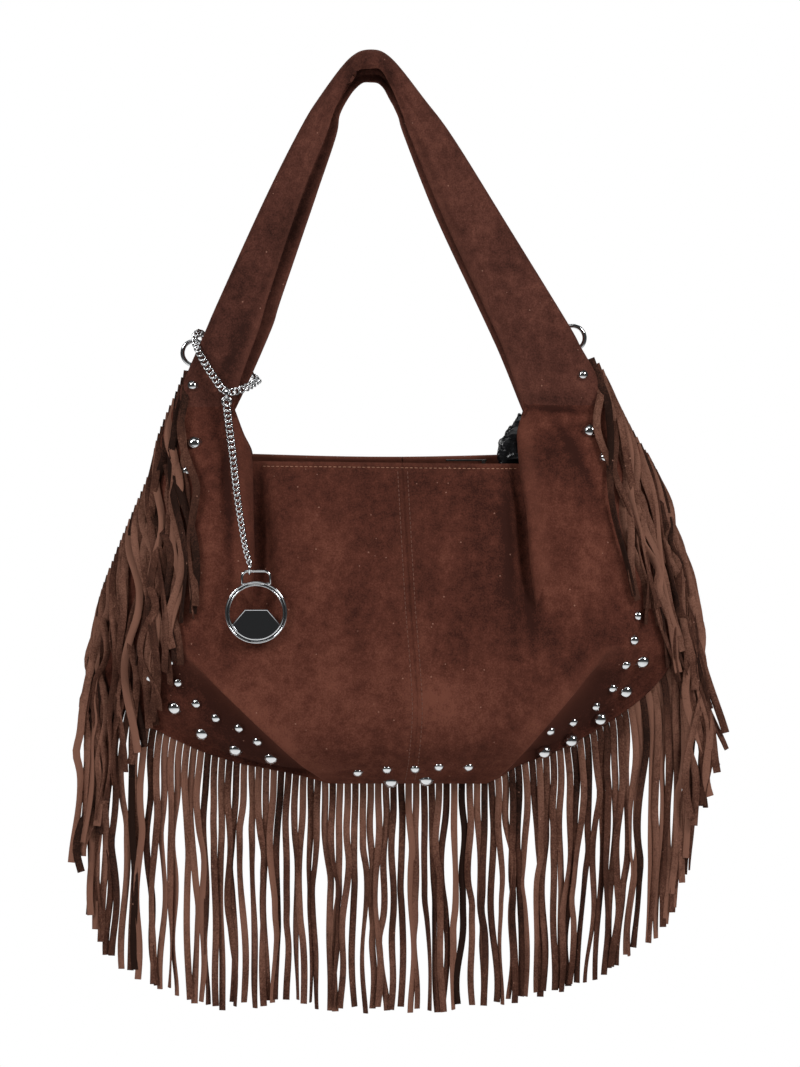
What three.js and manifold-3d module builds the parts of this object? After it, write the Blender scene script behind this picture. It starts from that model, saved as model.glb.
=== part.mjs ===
// Fringed suede shoulder bag, hung by its handle. Millimetres, +Z up, the front faces -Y.
// The origin is the underside of the handle's crown, where a hook carries the bag.
import * as THREE from "three";
import { mergeVertices } from "three/addons/utils/BufferGeometryUtils.js";
import Module from "manifold-3d";

const wasm = await Module();
wasm.setup();

// Driving dimensions
const CLEARANCE = 0.3;            // between pieces that touch
const SUEDE = 2.2;                // thickness of a panel with its backing
const SEAM_LAY = SUEDE + 0.2;     // how far a panel's outer face stands off the side seam's plane
const MOUTH_Z = -264.6;           // top edge of the front and back panels between the side strips
const STRAP_END_Z = -227.5;       // where the handle's band meets the side strips
const HEM_Z = -490.7;             // lowest point of the body
const PANEL_ROUNDNESS = 3.5;      // higher is a flatter front with rounder sides
const FOLD_DEPTH = 9;             // how far the lower corners lie behind the sagging belly
const FOLD_SOFTNESS = 7;          // width over which the belly turns under
const FRINGE_LENGTH = 165;
const FRINGE_BULK = 5;            // depth of a side curtain of overlapping strands
const FRINGE_STANDOFF = 6.5;      // the side strands hang over the studs
const BOTTOM_FRINGE_BULK = 3;
const LINING = 1.0;
const LINING_GAP = 0.8;
const SMALL_STUD_D = 7;
const LARGE_STUD_D = 10;
const STUD_SEAT = 0.5;            // under a stud's rim, which spans a gently curved panel
const RING_D = 20;
const RING_WIRE = 3;
const TAB_WALL = 1.5;
const TAB_LENGTH = 8;
const CHAIN_D = 4;                // envelope of the curb chain
const LINK_WIRE = 1.8;
const JOINING_LINK_D = 11.4;
const JOINING_SLACK = 0.5;        // the loop crosses its link on a slant
const TAIL_LINK_D = 7.8;
const BAIL_LINK_D = 9.4;
const CHARM_D = 43;
const CHARM_THICK = 2.4;
const CHARM_BAR = 3.8;
const BAIL_W = 21;
const BAIL_H = 10.5;
const BAIL_BAR = 1.8;
const ZIP_TEETH_W = 2.6;
const ZIP_TEETH_H = 2.2;
const ZIP_OPEN_HALF = 10.3;        // from the middle to a row of teeth where the zip stands open
const ZIP_SLIDER_W = 8;
const ZIP_SLIDER_L = 12;
const ZIP_SLIDER_H = 3.6;
const ZIP_SLIDER_X = 78;
const ZIP_Z = MOUTH_Z - 4;
const ZIP_PULL_L = 26;
const ZIP_PULL_W = 6;
const ZIP_PULL_THICK = 1.4;
const ZIP_TAPE = 1;
const ZIP_LEFT = -70;
const ZIP_RIGHT = 90;
const END_TAB_W = 14;
const END_TAB_H = 30;
const END_TAB_THICK = 7;

// Colours and finishes
const SUEDE_BROWN = { color: 0x542f27, roughness: 0.95, metalness: 0 };
const FRINGE_BROWN = { color: 0x6a4133, roughness: 0.95, metalness: 0 };
const LINING_BLACK = { color: 0x17130f, roughness: 0.7, metalness: 0 };
const COATED_BLACK = { color: 0x0d0d0e, roughness: 0.25, metalness: 0 };
const CHROME = { color: 0xd8dadc, roughness: 0.08, metalness: 1 };
const DARK_METAL = { color: 0x55504a, roughness: 0.35, metalness: 1 };

const bag = new THREE.Group();

function addNode(name, geometry, finish) {
  const mesh = new THREE.Mesh(geometry, new THREE.MeshStandardMaterial(finish));
  mesh.name = name;
  bag.add(mesh);
  return mesh;
}

// Solids and surfaces

// A three.js geometry as a solid that can be joined and cut.
function solidFrom(geometry) {
  const bare = geometry.index ? geometry.toNonIndexed() : geometry.clone();
  bare.deleteAttribute("normal");
  bare.deleteAttribute("uv");
  const merged = mergeVertices(bare, 1e-4);
  const mesh = new wasm.Mesh({
    numProp: 3,
    vertProperties: merged.attributes.position.array,
    triVerts: new Uint32Array(merged.index.array),
  });
  return new wasm.Manifold(mesh);
}

function geometryFrom(solid) {
  const mesh = solid.getMesh();
  const geometry = new THREE.BufferGeometry();
  geometry.setAttribute("position", new THREE.BufferAttribute(new Float32Array(mesh.vertProperties), 3));
  geometry.setIndex(new THREE.BufferAttribute(new Uint32Array(mesh.triVerts), 1));
  return geometry;
}

function join(...geometries) {
  const solids = geometries.map(solidFrom);
  return geometryFrom(solids.reduce((sum, solid) => sum.add(solid)));
}

// Triangles of a grid of points, rows[i][j]; flip turns its faces round.
function gridFaces(start, rowCount, columnCount, flip) {
  const faces = [];
  for (let i = 0; i + 1 < rowCount; i += 1) {
    for (let j = 0; j + 1 < columnCount; j += 1) {
      const a = start + i * columnCount + j;
      const b = a + 1;
      const c = a + columnCount;
      const d = c + 1;
      faces.push(...(flip ? [a, c, b, b, c, d] : [a, b, c, b, d, c]));
    }
  }
  return faces;
}

// A sheet with a skin on each side and a closed edge all round.
function sheet(outerRows, innerRows) {
  const rowCount = outerRows.length;
  const columnCount = outerRows[0].length;
  const points = [...outerRows.flat(), ...innerRows.flat()];
  const inner = rowCount * columnCount;
  const faces = [
    ...gridFaces(0, rowCount, columnCount, false),
    ...gridFaces(inner, rowCount, columnCount, true),
  ];
  const rim = [];
  for (let j = 0; j + 1 < columnCount; j += 1) rim.push(j);
  for (let i = 0; i + 1 < rowCount; i += 1) rim.push(i * columnCount + columnCount - 1);
  for (let j = columnCount - 1; j > 0; j -= 1) rim.push((rowCount - 1) * columnCount + j);
  for (let i = rowCount - 1; i > 0; i -= 1) rim.push(i * columnCount);
  rim.forEach((from, k) => {
    const to = rim[(k + 1) % rim.length];
    faces.push(from, from + inner, to, to, from + inner, to + inner);
  });
  const geometry = new THREE.BufferGeometry();
  geometry.setAttribute("position", new THREE.Float32BufferAttribute(points.flat(), 3));
  geometry.setIndex(faces);
  return facingOut(geometry);
}

function facingOut(geometry) {
  const solid = solidFrom(geometry);
  if (solid.volume() >= 0) return geometry;
  const index = geometry.index.array;
  for (let i = 0; i < index.length; i += 3) {
    [index[i + 1], index[i + 2]] = [index[i + 2], index[i + 1]];
  }
  return geometry;
}

function steps(count) {
  return Array.from({ length: count + 1 }, (_, i) => i / count);
}

function mix(a, b, t) {
  return a + (b - a) * t;
}

function smooth(t) {
  const k = Math.min(1, Math.max(0, t));
  return k * k * (3 - 2 * k);
}

// A smooth value along a list of [position, value] pairs, positions falling or rising.
function along(pairs) {
  const sorted = [...pairs].sort((a, b) => a[0] - b[0]);
  const last = sorted.length - 1;
  const slope = (i) => {
    const low = sorted[Math.max(0, i - 1)];
    const high = sorted[Math.min(last, i + 1)];
    return (high[1] - low[1]) / (high[0] - low[0]);
  };
  return (position) => {
    const p = Math.min(sorted[last][0], Math.max(sorted[0][0], position));
    let i = 0;
    while (i < last - 1 && p > sorted[i + 1][0]) i += 1;
    const width = sorted[i + 1][0] - sorted[i][0];
    const t = (p - sorted[i][0]) / width;
    const t2 = t * t;
    const t3 = t2 * t;
    return (2 * t3 - 3 * t2 + 1) * sorted[i][1] + (t3 - 2 * t2 + t) * width * slope(i)
      + (3 * t2 - 2 * t3) * sorted[i + 1][1] + (t3 - t2) * width * slope(i + 1);
  };
}

// Outline of the body: the side seams run down from the handle's feet and round into the hem.
const LEFT_SEAM = [
  [-197.4, -127.4], [-215.6, -134.4], [-234.5, -142.8], [-249.9, -148.4], [-269.5, -152.6],
  [-291.9, -161.7], [-319.9, -173.6], [-361.9, -189], [-389.9, -191.8], [-414.4, -187.6],
  [-431.9, -179.2], [-445.9, -163.8], [-456.4, -144.9], [-466.9, -121.8], [-475.3, -95.9],
  [-481, -68], [-486, -48], [HEM_Z, -30],
];
const RIGHT_SEAM = [
  [-189, 149.1], [-198.1, 157.5], [-212.8, 164.5], [-240.8, 178.5], [-261.1, 191.1],
  [-275.8, 198.8], [-298.9, 205.1], [-323.4, 214.9], [-340.9, 219.1], [-361.9, 221.2],
  [-382.9, 218.4], [-403.9, 211.4], [-421.4, 198.8], [-435.4, 183.4], [-449.4, 163.1],
  [-463.4, 138.6], [-473.9, 114.1], [-482.3, 98], [HEM_Z, 80],
];
const CENTRE_SEAM = [[MOUTH_Z, 21], [-361.9, 26.6], [-431.9, 31.5], [-471.8, 29], [HEM_Z, 26]];
const BODY_DEPTH = [
  [MOUTH_Z, 12.6], [-290, 24], [-320, 33], [-350, 39.5], [-380, 43], [-410, 45.5], [-440, 46],
  [-460, 43], [-472, 35], [-481, 23], [-487, 12], [HEM_Z, 0],
];
const leftSeam = along(LEFT_SEAM);
const rightSeam = along(RIGHT_SEAM);
const centreSeam = along(CENTRE_SEAM);
const bodyDepth = along(BODY_DEPTH);

// The sagging belly turns under along a line at each lower corner.
const BELLY_FOLDS = [
  { high: [-121, -407], low: [-36, -488], side: -1 },
  { high: [146, -418.6], low: [100, -474], side: 1 },
];
const FOLD_START_Z = -392;
const FOLD_FULL_Z = -425;

function foldRecess(x, z) {
  let recess = 0;
  for (const { high, low, side } of BELLY_FOLDS) {
    const length = Math.hypot(low[0] - high[0], low[1] - high[1]);
    const across = ((x - high[0]) * (low[1] - high[1]) - (z - high[1]) * (low[0] - high[0])) / length;
    const outside = side < 0 ? across : -across;
    const under = smooth(outside / FOLD_SOFTNESS);
    const fade = smooth((FOLD_START_Z - z) / (FOLD_START_Z - FOLD_FULL_Z));
    recess = Math.max(recess, FOLD_DEPTH * under * fade);
  }
  return recess;
}

// How far the outer face of the front stands off the seam's plane.
function frontDepth(x, z) {
  const low = leftSeam(z);
  const high = rightSeam(z);
  const share = Math.min(1, Math.abs(x - (low + high) / 2) / ((high - low) / 2));
  const round = 1 - share ** PANEL_ROUNDNESS;
  return SEAM_LAY + Math.max(0, bodyDepth(z) * round - foldRecess(x, z) * smooth(round * 4));
}

// Side strips: the folded suede that runs from the handle's feet down over the panel and fades out.
const STRIP_RISE = [[STRAP_END_Z, 8], [-245, 12], [MOUTH_Z, 14], [-300, 10], [-340, 5], [-372, 0]];
const stripRise = along(STRIP_RISE);
const LEFT_STRIP_EDGE = [[STRAP_END_Z, -96.6], [-245, -90], [-259, -84], [-300, -82], [-372, -80]];
const RIGHT_STRIP_EDGE = [
  [STRAP_END_Z, 106.4], [-243, 101.5], [-255, 101.5], [-271, 102.9], [-306, 107.8], [-372, 111],
];
const STRIP_END_Z = -370;
const STRIP_TOP_Z = STRAP_END_Z - CLEARANCE;

function stripDepth(x, z, t) {
  const underMouth = smooth((STRAP_END_Z - 12 - z) / (STRAP_END_Z - 12 - MOUTH_Z));
  const ground = (frontDepth(x, Math.min(z, MOUTH_Z)) - SEAM_LAY) * underMouth;
  return SEAM_LAY + ground * mix(1, 0.92, t) * smooth(t * 3 + 0.001)
    + stripRise(z) * Math.sin(Math.PI * Math.min(1, t * 0.94)) ** 0.6;
}

const PANEL_ROWS = 13;
const PANEL_COLUMNS = 9;
const STRIP_ROWS = 7;
const STRIP_COLUMNS = 6;

// Rows crowd towards the hem, where the outline turns fastest.
function panelRowZ(t) {
  return mix(MOUTH_Z, HEM_Z, 1 - (1 - t) ** 1.6);
}

// One half of the front (facing -1) or of the back (facing 1), on the left (side -1) or right (side 1).
function halfPanel(side, facing) {
  const seam = side < 0 ? leftSeam : rightSeam;
  const stripEdge = along(side < 0 ? LEFT_STRIP_EDGE : RIGHT_STRIP_EDGE);
  const outer = steps(PANEL_ROWS).map((v) => {
    const z = panelRowZ(v);
    const middle = centreSeam(z) + side * CLEARANCE / 2;
    return steps(PANEL_COLUMNS).map((u) => {
      const x = mix(seam(z), middle, u);
      return [x, facing * frontDepth(x, z), z];
    });
  });
  const strip = steps(STRIP_ROWS).map((v) => {
    const z = mix(STRIP_TOP_Z, STRIP_END_Z, v);
    return steps(STRIP_COLUMNS).map((t) => {
      const x = mix(seam(z), stripEdge(z), t);
      return [x, facing * stripDepth(x, z, t), z];
    });
  });
  const lift = (rows) => rows.map((row) => row.map(([x, y, z]) => [x, y - facing * SUEDE, z]));
  return join(sheet(outer, lift(outer)), sheet(strip, lift(strip)));
}

const frontLeft = addNode("front_panel_left", halfPanel(-1, -1), SUEDE_BROWN);
const frontRight = addNode("front_panel_right", halfPanel(1, -1), SUEDE_BROWN);
addNode("back_panel_left", halfPanel(-1, 1), SUEDE_BROWN);
addNode("back_panel_right", halfPanel(1, 1), SUEDE_BROWN);

// Lining: a pouch that hangs inside the panels, open at the mouth.
const LINING_TOP_Z = MOUTH_Z - 14;
const LINING_BOTTOM_Z = -478;
const LINING_SIDE_GAP = 14;
const LINING_ROWS = 7;
const LINING_RING = 16;

function liningRing(z, inset) {
  const low = leftSeam(z) + LINING_SIDE_GAP + inset;
  const high = rightSeam(z) - LINING_SIDE_GAP - inset;
  return Array.from({ length: LINING_RING }, (_, k) => {
    const turn = (2 * Math.PI * k) / LINING_RING;
    const x = (low + high) / 2 + (high - low) / 2 * Math.cos(turn);
    const room = Math.max(0.2, frontDepth(x, z) - SUEDE - LINING_GAP - inset);
    return [x, room * Math.sin(turn), z];
  });
}

function pouch() {
  const rows = steps(LINING_ROWS).map((t) => mix(LINING_TOP_Z, LINING_BOTTOM_Z, t));
  const wall = rows.map((z) => liningRing(z, 0));
  const inside = rows.map((z, i) => liningRing(i === LINING_ROWS ? z + LINING : z, LINING));
  const closed = (rings) => rings.map((ring) => [...ring, ring[0]]);
  const outerRows = closed(wall);
  const innerRows = closed(inside);
  for (const [rings, z] of [[outerRows, LINING_BOTTOM_Z], [innerRows, LINING_BOTTOM_Z + LINING]]) {
    const last = rings[rings.length - 1];
    const middle = (last[0][0] + last[LINING_RING / 2][0]) / 2;
    rings.push(last.map(() => [middle, 0, z]));
  }
  const points = [...outerRows.flat(), ...innerRows.flat()];
  const rowCount = outerRows.length;
  const columnCount = LINING_RING + 1;
  const inner = rowCount * columnCount;
  const faces = [
    ...gridFaces(0, rowCount, columnCount, false),
    ...gridFaces(inner, rowCount, columnCount, true),
  ];
  for (let j = 0; j < LINING_RING; j += 1) {
    faces.push(j, j + inner, j + 1, j + 1, j + inner, j + inner + 1);
  }
  const geometry = new THREE.BufferGeometry();
  geometry.setAttribute("position", new THREE.Float32BufferAttribute(points.flat(), 3));
  geometry.setIndex(faces);
  return facingOut(geometryFrom(solidFrom(facingOut(geometry))));
}

addNode("lining", pouch(), LINING_BLACK);

// Handle: a band folded lengthwise, its fold on the outside of the loop and its two free edges inside.
// Each station gives the fold, the front layer's edge and the back layer's edge, then half its depth.
const HANDLE_STATIONS = [
  { fold: [-139.4, STRAP_END_Z], front: [-104.5, STRAP_END_Z], back: [-97, STRAP_END_Z], half: 10.5 },
  { fold: [-131, -207], front: [-91, -206], back: [-85, -206], half: 10 },
  { fold: [-117, -175], front: [-79, -173], back: [-70, -171.5], half: 8.5 },
  { fold: [-107, -152], front: [-73, -152], back: [-63.7, -152], half: 7.5 },
  { fold: [-75, -82], front: [-49.7, -82], back: [-40.6, -84], half: 7 },
  { fold: [-51, -34.3], front: [-31.5, -36.4], back: [-25.2, -38.5], half: 8 },
  { fold: [-37, -11.2], front: [-24.5, -16.8], back: [-21.7, -21], half: 10 },
  { fold: [-16, 16], front: [-11.9, 5], back: [-10.2, -2.6], half: 12 },
  { fold: [-0.7, 22.4], front: [-0.7, 8.4], back: [-0.7, 0], half: 12.5 },
  { fold: [14, 16], front: [8.4, 5], back: [7.5, -3.6], half: 12 },
  { fold: [37.1, -12.6], front: [20.3, -20.5], back: [17.5, -22.4], half: 9.5 },
  { fold: [57.4, -39.9], front: [25.9, -36.9], back: [22.4, -37.8], half: 8 },
  { fold: [96.6, -102.9], front: [49, -93.1], back: [44.8, -94.5], half: 7 },
  { fold: [137.2, -168.7], front: [80.5, -161.7], back: [77, -163.1], half: 8.5 },
  { fold: [148.4, -189], front: [92.5, -189], back: [89.6, -190.4], half: 9.5 },
  { fold: [172.5, STRAP_END_Z], front: [107, STRAP_END_Z], back: [106, STRAP_END_Z], half: 10.5 },
];
const HANDLE_ROWS = 26;
const FOLD_POINTS = 5;
const LEG_POINTS = 3;

function handleStation(t) {
  const place = t * (HANDLE_STATIONS.length - 1);
  const pick = (get) => along(HANDLE_STATIONS.map((station, i) => [i, get(station)]))(place);
  return {
    fold: [pick((s) => s.fold[0]), pick((s) => s.fold[1])],
    front: [pick((s) => s.front[0]), pick((s) => s.front[1])],
    back: [pick((s) => s.back[0]), pick((s) => s.back[1])],
    half: pick((s) => s.half),
  };
}

// Section of the folded band at one station, from the front edge round the fold to the back edge.
function handleSection({ fold, front, back, half }, inset) {
  const points = [];
  const leg = (edge, y) => {
    const length = Math.hypot(edge[0] - fold[0], edge[1] - fold[1]);
    return (distance) => [
      fold[0] + (edge[0] - fold[0]) * distance / length,
      y,
      fold[1] + (edge[1] - fold[1]) * distance / length,
      length,
    ];
  };
  const depth = half - inset;
  const frontLeg = leg(front, -depth);
  const backLeg = leg(back, depth);
  const frontLength = frontLeg(0)[3];
  const backLength = backLeg(0)[3];
  for (let i = 0; i < LEG_POINTS; i += 1) {
    points.push(frontLeg(mix(frontLength, half, i / LEG_POINTS)).slice(0, 3));
  }
  for (let i = 0; i <= FOLD_POINTS; i += 1) {
    const turn = Math.PI * i / FOLD_POINTS;
    const reach = half - depth * Math.sin(turn);
    const [x, , z] = i * 2 < FOLD_POINTS ? frontLeg(reach) : backLeg(reach);
    points.push([x, -depth * Math.cos(turn), z]);
  }
  for (let i = LEG_POINTS - 1; i >= 0; i -= 1) {
    points.push(backLeg(mix(backLength, half, i / LEG_POINTS)).slice(0, 3));
  }
  return points;
}

const handleRows = steps(HANDLE_ROWS).map(handleStation);
const handle = addNode(
  "handle",
  sheet(
    handleRows.map((station) => handleSection(station, 0)),
    handleRows.map((station) => handleSection(station, SUEDE)),
  ),
  SUEDE_BROWN,
);

// Depth of what a hanging strand lies over: the handle's foot, a side strip or the panel.
const STATION_FEET = { "-1": HANDLE_STATIONS.slice(0, 3), "1": HANDLE_STATIONS.slice(-3) };
const footFold = (side) => along(STATION_FEET[side].map(({ fold }) => [fold[1], fold[0]]));
const footHalf = (side) => along(STATION_FEET[side].map(({ fold, half }) => [fold[1], half]));

function handleLie(side, x, z) {
  const half = footHalf(side)(z);
  const inboard = (footFold(side)(z) - x) * side;
  if (inboard <= 0) return SEAM_LAY;
  const turn = Math.max(0, 1 - inboard / half);
  return Math.max(SEAM_LAY, half * Math.sqrt(1 - turn * turn) + 1);
}

function bodyFront(side, x, z) {
  const seam = side < 0 ? leftSeam : rightSeam;
  const bodyZ = Math.max(z, HEM_Z);
  const inboard = (seam(bodyZ) - x) * side;
  if (inboard <= 0) return SEAM_LAY;
  const edge = along(side < 0 ? LEFT_STRIP_EDGE : RIGHT_STRIP_EDGE)(bodyZ);
  const t = inboard / Math.abs(edge - seam(bodyZ));
  const strip = bodyZ > STRIP_END_Z && t < 1 ? stripDepth(x, bodyZ, t) : 0;
  const panel = bodyZ < MOUTH_Z ? frontDepth(x, bodyZ) : SEAM_LAY;
  return Math.max(strip, panel);
}

function frontBehind(side, x, z) {
  return z > STRAP_END_Z ? handleLie(side, x, z) : bodyFront(side, x, z);
}

// Fringe: plain curtains that hang from the side seams and the hem.
const FRINGE_BREAK_LEFT = -389.9;   // the side strips of fringe end at the body's widest place
const FRINGE_BREAK_RIGHT = -361.9;
const FRINGE_TOP_LEFT = -199;
const FRINGE_TOP_RIGHT = -191;
const FRINGE_COLUMNS = 8;
const FRINGE_ROWS = Math.ceil(FRINGE_LENGTH / 20.625);
const STANDOFF_DROP = 27.5;         // a strand stands clear of the studs this far below its root
const ROOT_GAP = 0.7;               // a curtain's straight edge beside a curved seam
const STRAND_LEAN_LEFT = [0.0606061, -0.0787879];   // sideways reach for each mm of drop, high and low
const STRAND_LEAN_RIGHT = [0.1636364, 0.1454545];

// A place on the outline, moved outwards by a gap.
function besideSeam(seam, side, z, gap) {
  const slope = (seam(z + 0.5) - seam(z - 0.5));
  const length = Math.hypot(1, slope);
  return [seam(z) + side * gap / length, z - side * gap * slope / length];
}

function sideFringe(side) {
  const seam = side < 0 ? leftSeam : rightSeam;
  const top = side < 0 ? FRINGE_TOP_LEFT : FRINGE_TOP_RIGHT;
  const bottom = side < 0 ? FRINGE_BREAK_LEFT : FRINGE_BREAK_RIGHT;
  const [highLean, lowLean] = side < 0 ? STRAND_LEAN_LEFT : STRAND_LEAN_RIGHT;
  const rows = (bulk) => steps(FRINGE_COLUMNS).map((u) => {
    const [rootX, rootZ] = besideSeam(seam, side, mix(top, bottom, u), ROOT_GAP);
    return steps(FRINGE_ROWS).map((v) => {
      const drop = FRINGE_LENGTH * v;
      const x = rootX + drop * mix(highLean, lowLean, u);
      const z = rootZ - drop;
      const standOff = mix(ROOT_GAP, FRINGE_STANDOFF, smooth(drop / STANDOFF_DROP));
      return [x, -(frontBehind(side, x, z) + standOff + bulk), z];
    });
  });
  return sheet(rows(FRINGE_BULK), rows(0));
}

addNode("fringe_left", sideFringe(-1), FRINGE_BROWN);
addNode("fringe_right", sideFringe(1), FRINGE_BROWN);

// The bottom curtain follows the hem from one side strip to the other.
function bottomFringe() {
  const rowHeights = steps(PANEL_ROWS).map(panelRowZ);
  const leftRoots = rowHeights.filter((z) => z < FRINGE_BREAK_LEFT)
    .map((z) => besideSeam(leftSeam, -1, z, ROOT_GAP));
  const rightRoots = rowHeights.filter((z) => z < FRINGE_BREAK_RIGHT)
    .map((z) => besideSeam(rightSeam, 1, z, ROOT_GAP));
  const roots = [...leftRoots, ...rightRoots.reverse()];
  const rows = (y) => roots.map(([x, z]) => [[x, y, z], [x, y, z - FRINGE_LENGTH]]);
  return sheet(rows(-BOTTOM_FRINGE_BULK / 2), rows(BOTTOM_FRINGE_BULK / 2));
}

addNode("fringe_bottom", bottomFringe(), FRINGE_BROWN);

// A wire ring lying in the plane whose normal is the given axis.
function wireRing(outerDiameter, wire, axis, centre, sides, turns) {
  const ring = new THREE.TorusGeometry((outerDiameter - wire) / 2, wire / 2, sides, turns);
  if (axis === "x") ring.rotateY(Math.PI / 2);
  if (axis === "y") ring.rotateX(Math.PI / 2);
  ring.translate(...centre);
  return ring;
}

// Rings behind the handle's feet, each held by a sewn suede tab whose bore the ring's wire turns in.
const RING_CENTRES = { left: [-124.6, -189], right: [140.7, -178.5] };
const TAB_BORE = RING_WIRE / 2 + 1.3;
const TAB_R = TAB_BORE + TAB_WALL;
const RING_FACETS = 20;
const TAB_FACETS = 12;

function ringAndTab(name, side) {
  const [x, z] = RING_CENTRES[name];
  const y = footHalf(side)(z - TAB_LENGTH / 2) + CLEARANCE + TAB_R;
  addNode(`ring_${name}`, wireRing(RING_D, RING_WIRE, "y", [x, y, z], 6, RING_FACETS), CHROME);
  const tabX = x - side * ((RING_D - RING_WIRE) / 2 - 0.5);
  const section = new THREE.Shape().absarc(0, 0, TAB_R, 0, 2 * Math.PI);
  section.holes.push(new THREE.Path().absarc(0, 0, TAB_BORE, 0, 2 * Math.PI));
  const tab = new THREE.ExtrudeGeometry(section, {
    depth: TAB_LENGTH, bevelEnabled: false, curveSegments: TAB_FACETS,
  });
  tab.translate(tabX, y, z - TAB_LENGTH / 2);
  addNode(`ring_tab_${name}`, tab, SUEDE_BROWN);
}

ringAndTab("left", -1);
ringAndTab("right", 1);

// Curb chain: a loop round the left foot of the handle, its joining link, and the tail that hangs from it.
const CHAIN_LOOP_ROUTE = [
  [-101, -17.4, -216], [-110, -15.5, -205.5], [-118, -13, -192.5], [-123.5, -7, -181], [-122.2, 0, -175.6],
  [-119, 7.6, -176], [-110, 12, -183], [-97, 12.2, -194], [-83, 12.4, -204.5], [-77, 5, -208.5],
  [-77.8, -5, -210], [-86.5, -14.5, -213.5],
];
const TAIL_ROUTE = [
  [-100.9, -17.8, -225.2], [-98.6, -23, -243], [-96, -29.5, -262], [-93.3, -36.5, -285], [-90.2, -42.3, -305],
  [-86.8, -46.8, -324], [-84, -48.4, -334],
];
const CHAIN_SIDES = 8;

function chainSection() {
  return new THREE.Shape().absarc(0, 0, CHAIN_D / 2, 0, 2 * Math.PI);
}

function tubeAlong(points, count, closed) {
  const curve = new THREE.CatmullRomCurve3(points.map((p) => new THREE.Vector3(...p)), closed);
  return new THREE.ExtrudeGeometry(chainSection(), {
    extrudePath: curve, steps: count, bevelEnabled: false, curveSegments: CHAIN_SIDES / 2,
  });
}

addNode("chain_loop", tubeAlong(CHAIN_LOOP_ROUTE, 30, true), CHROME);

// Each link hangs on the wire above it, its own wire just under that one.
function hungOn(outerDiameter, wire, carrierRadius) {
  return (outerDiameter / 2 - wire) - carrierRadius - CLEARANCE;
}

const [loopX, loopY, loopZ] = CHAIN_LOOP_ROUTE[0];
const joiningDrop = hungOn(JOINING_LINK_D, LINK_WIRE, CHAIN_D / 2) - JOINING_SLACK;
const joiningCentre = [loopX, loopY, loopZ - joiningDrop];
addNode("joining_link", wireRing(JOINING_LINK_D, LINK_WIRE, "x", joiningCentre, 6, 12), CHROME);

const joiningWireZ = joiningCentre[2] - (JOINING_LINK_D - LINK_WIRE) / 2;
const tailTop = [loopX, loopY, joiningWireZ - hungOn(TAIL_LINK_D, LINK_WIRE, LINK_WIRE / 2)];
const [tailEndX, tailEndY, tailEndZ] = TAIL_ROUTE[TAIL_ROUTE.length - 1];
const bailLinkCentre = [tailEndX, tailEndY, tailEndZ - (BAIL_LINK_D - LINK_WIRE) / 2];
addNode("chain_tail", join(
  wireRing(TAIL_LINK_D, LINK_WIRE, "y", tailTop, 6, 12),
  tubeAlong(TAIL_ROUTE, 10, false),
  wireRing(BAIL_LINK_D, LINK_WIRE, "x", bailLinkCentre, 6, 12),
), CHROME);

// Charm: a ring with a bare plate across its lower part and a bail that hangs on the chain's last link.
const bailBarZ = bailLinkCentre[2] - (BAIL_LINK_D / 2 - LINK_WIRE) + CLEARANCE + BAIL_BAR / 2 + 0.6;
const charmTopZ = bailBarZ + BAIL_BAR / 2 - BAIL_H;
const charmCentreZ = charmTopZ - CHARM_D / 2 + CHARM_BAR / 2;
const charmCentreX = tailEndX + 4.5;
const PLATE_TOP = 1.7;           // height of the plate's top edge over the charm's centre
const PLATE_TOP_HALF = 7.7;
const PLATE_SHOULDER_HALF = 14.3;
const PLATE_SHOULDER = -7.5;

function slab(shape) {
  const cut = { depth: CHARM_THICK, bevelEnabled: false, curveSegments: 12 };
  const solid = new THREE.ExtrudeGeometry(shape, cut);
  solid.rotateX(Math.PI / 2);
  solid.translate(charmCentreX, tailEndY + CHARM_THICK / 2, charmCentreZ);
  return solid;
}

function roundedBox(shape, halfWidth, low, high, radius) {
  shape.moveTo(-halfWidth, low);
  shape.lineTo(halfWidth, low);
  shape.lineTo(halfWidth, high - radius);
  shape.absarc(halfWidth - radius, high - radius, radius, 0, Math.PI / 2);
  shape.lineTo(-halfWidth + radius, high);
  shape.absarc(-halfWidth + radius, high - radius, radius, Math.PI / 2, Math.PI);
  shape.closePath();
  return shape;
}

function charm() {
  const ring = new THREE.Shape().absarc(0, 0, CHARM_D / 2, 0, 2 * Math.PI);
  ring.holes.push(new THREE.Path().absarc(0, 0, CHARM_D / 2 - CHARM_BAR, 0, 2 * Math.PI));
  const inside = CHARM_D / 2 - CHARM_BAR / 2;
  const shoulder = Math.atan2(PLATE_SHOULDER, PLATE_SHOULDER_HALF);
  const plate = new THREE.Shape();
  plate.moveTo(-PLATE_TOP_HALF, PLATE_TOP);
  plate.lineTo(Math.cos(Math.PI - shoulder) * inside, Math.sin(shoulder) * inside);
  plate.absarc(0, 0, inside, Math.PI - shoulder, 2 * Math.PI + shoulder);
  plate.lineTo(PLATE_TOP_HALF, PLATE_TOP);
  plate.closePath();
  const bailTop = CHARM_D / 2 - CHARM_BAR / 2 + BAIL_H;
  const bailFoot = CHARM_D / 2 - CHARM_BAR;
  const bail = roundedBox(new THREE.Shape(), BAIL_W / 2, bailFoot, bailTop, 4);
  const eyeHalf = BAIL_W / 2 - BAIL_BAR;
  const eye = roundedBox(new THREE.Path(), eyeHalf, bailFoot + CHARM_BAR, bailTop - BAIL_BAR, 2.4);
  bail.holes.push(eye);
  return join(slab(ring), slab(plate), slab(bail));
}

addNode("charm", charm(), CHROME);

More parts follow.
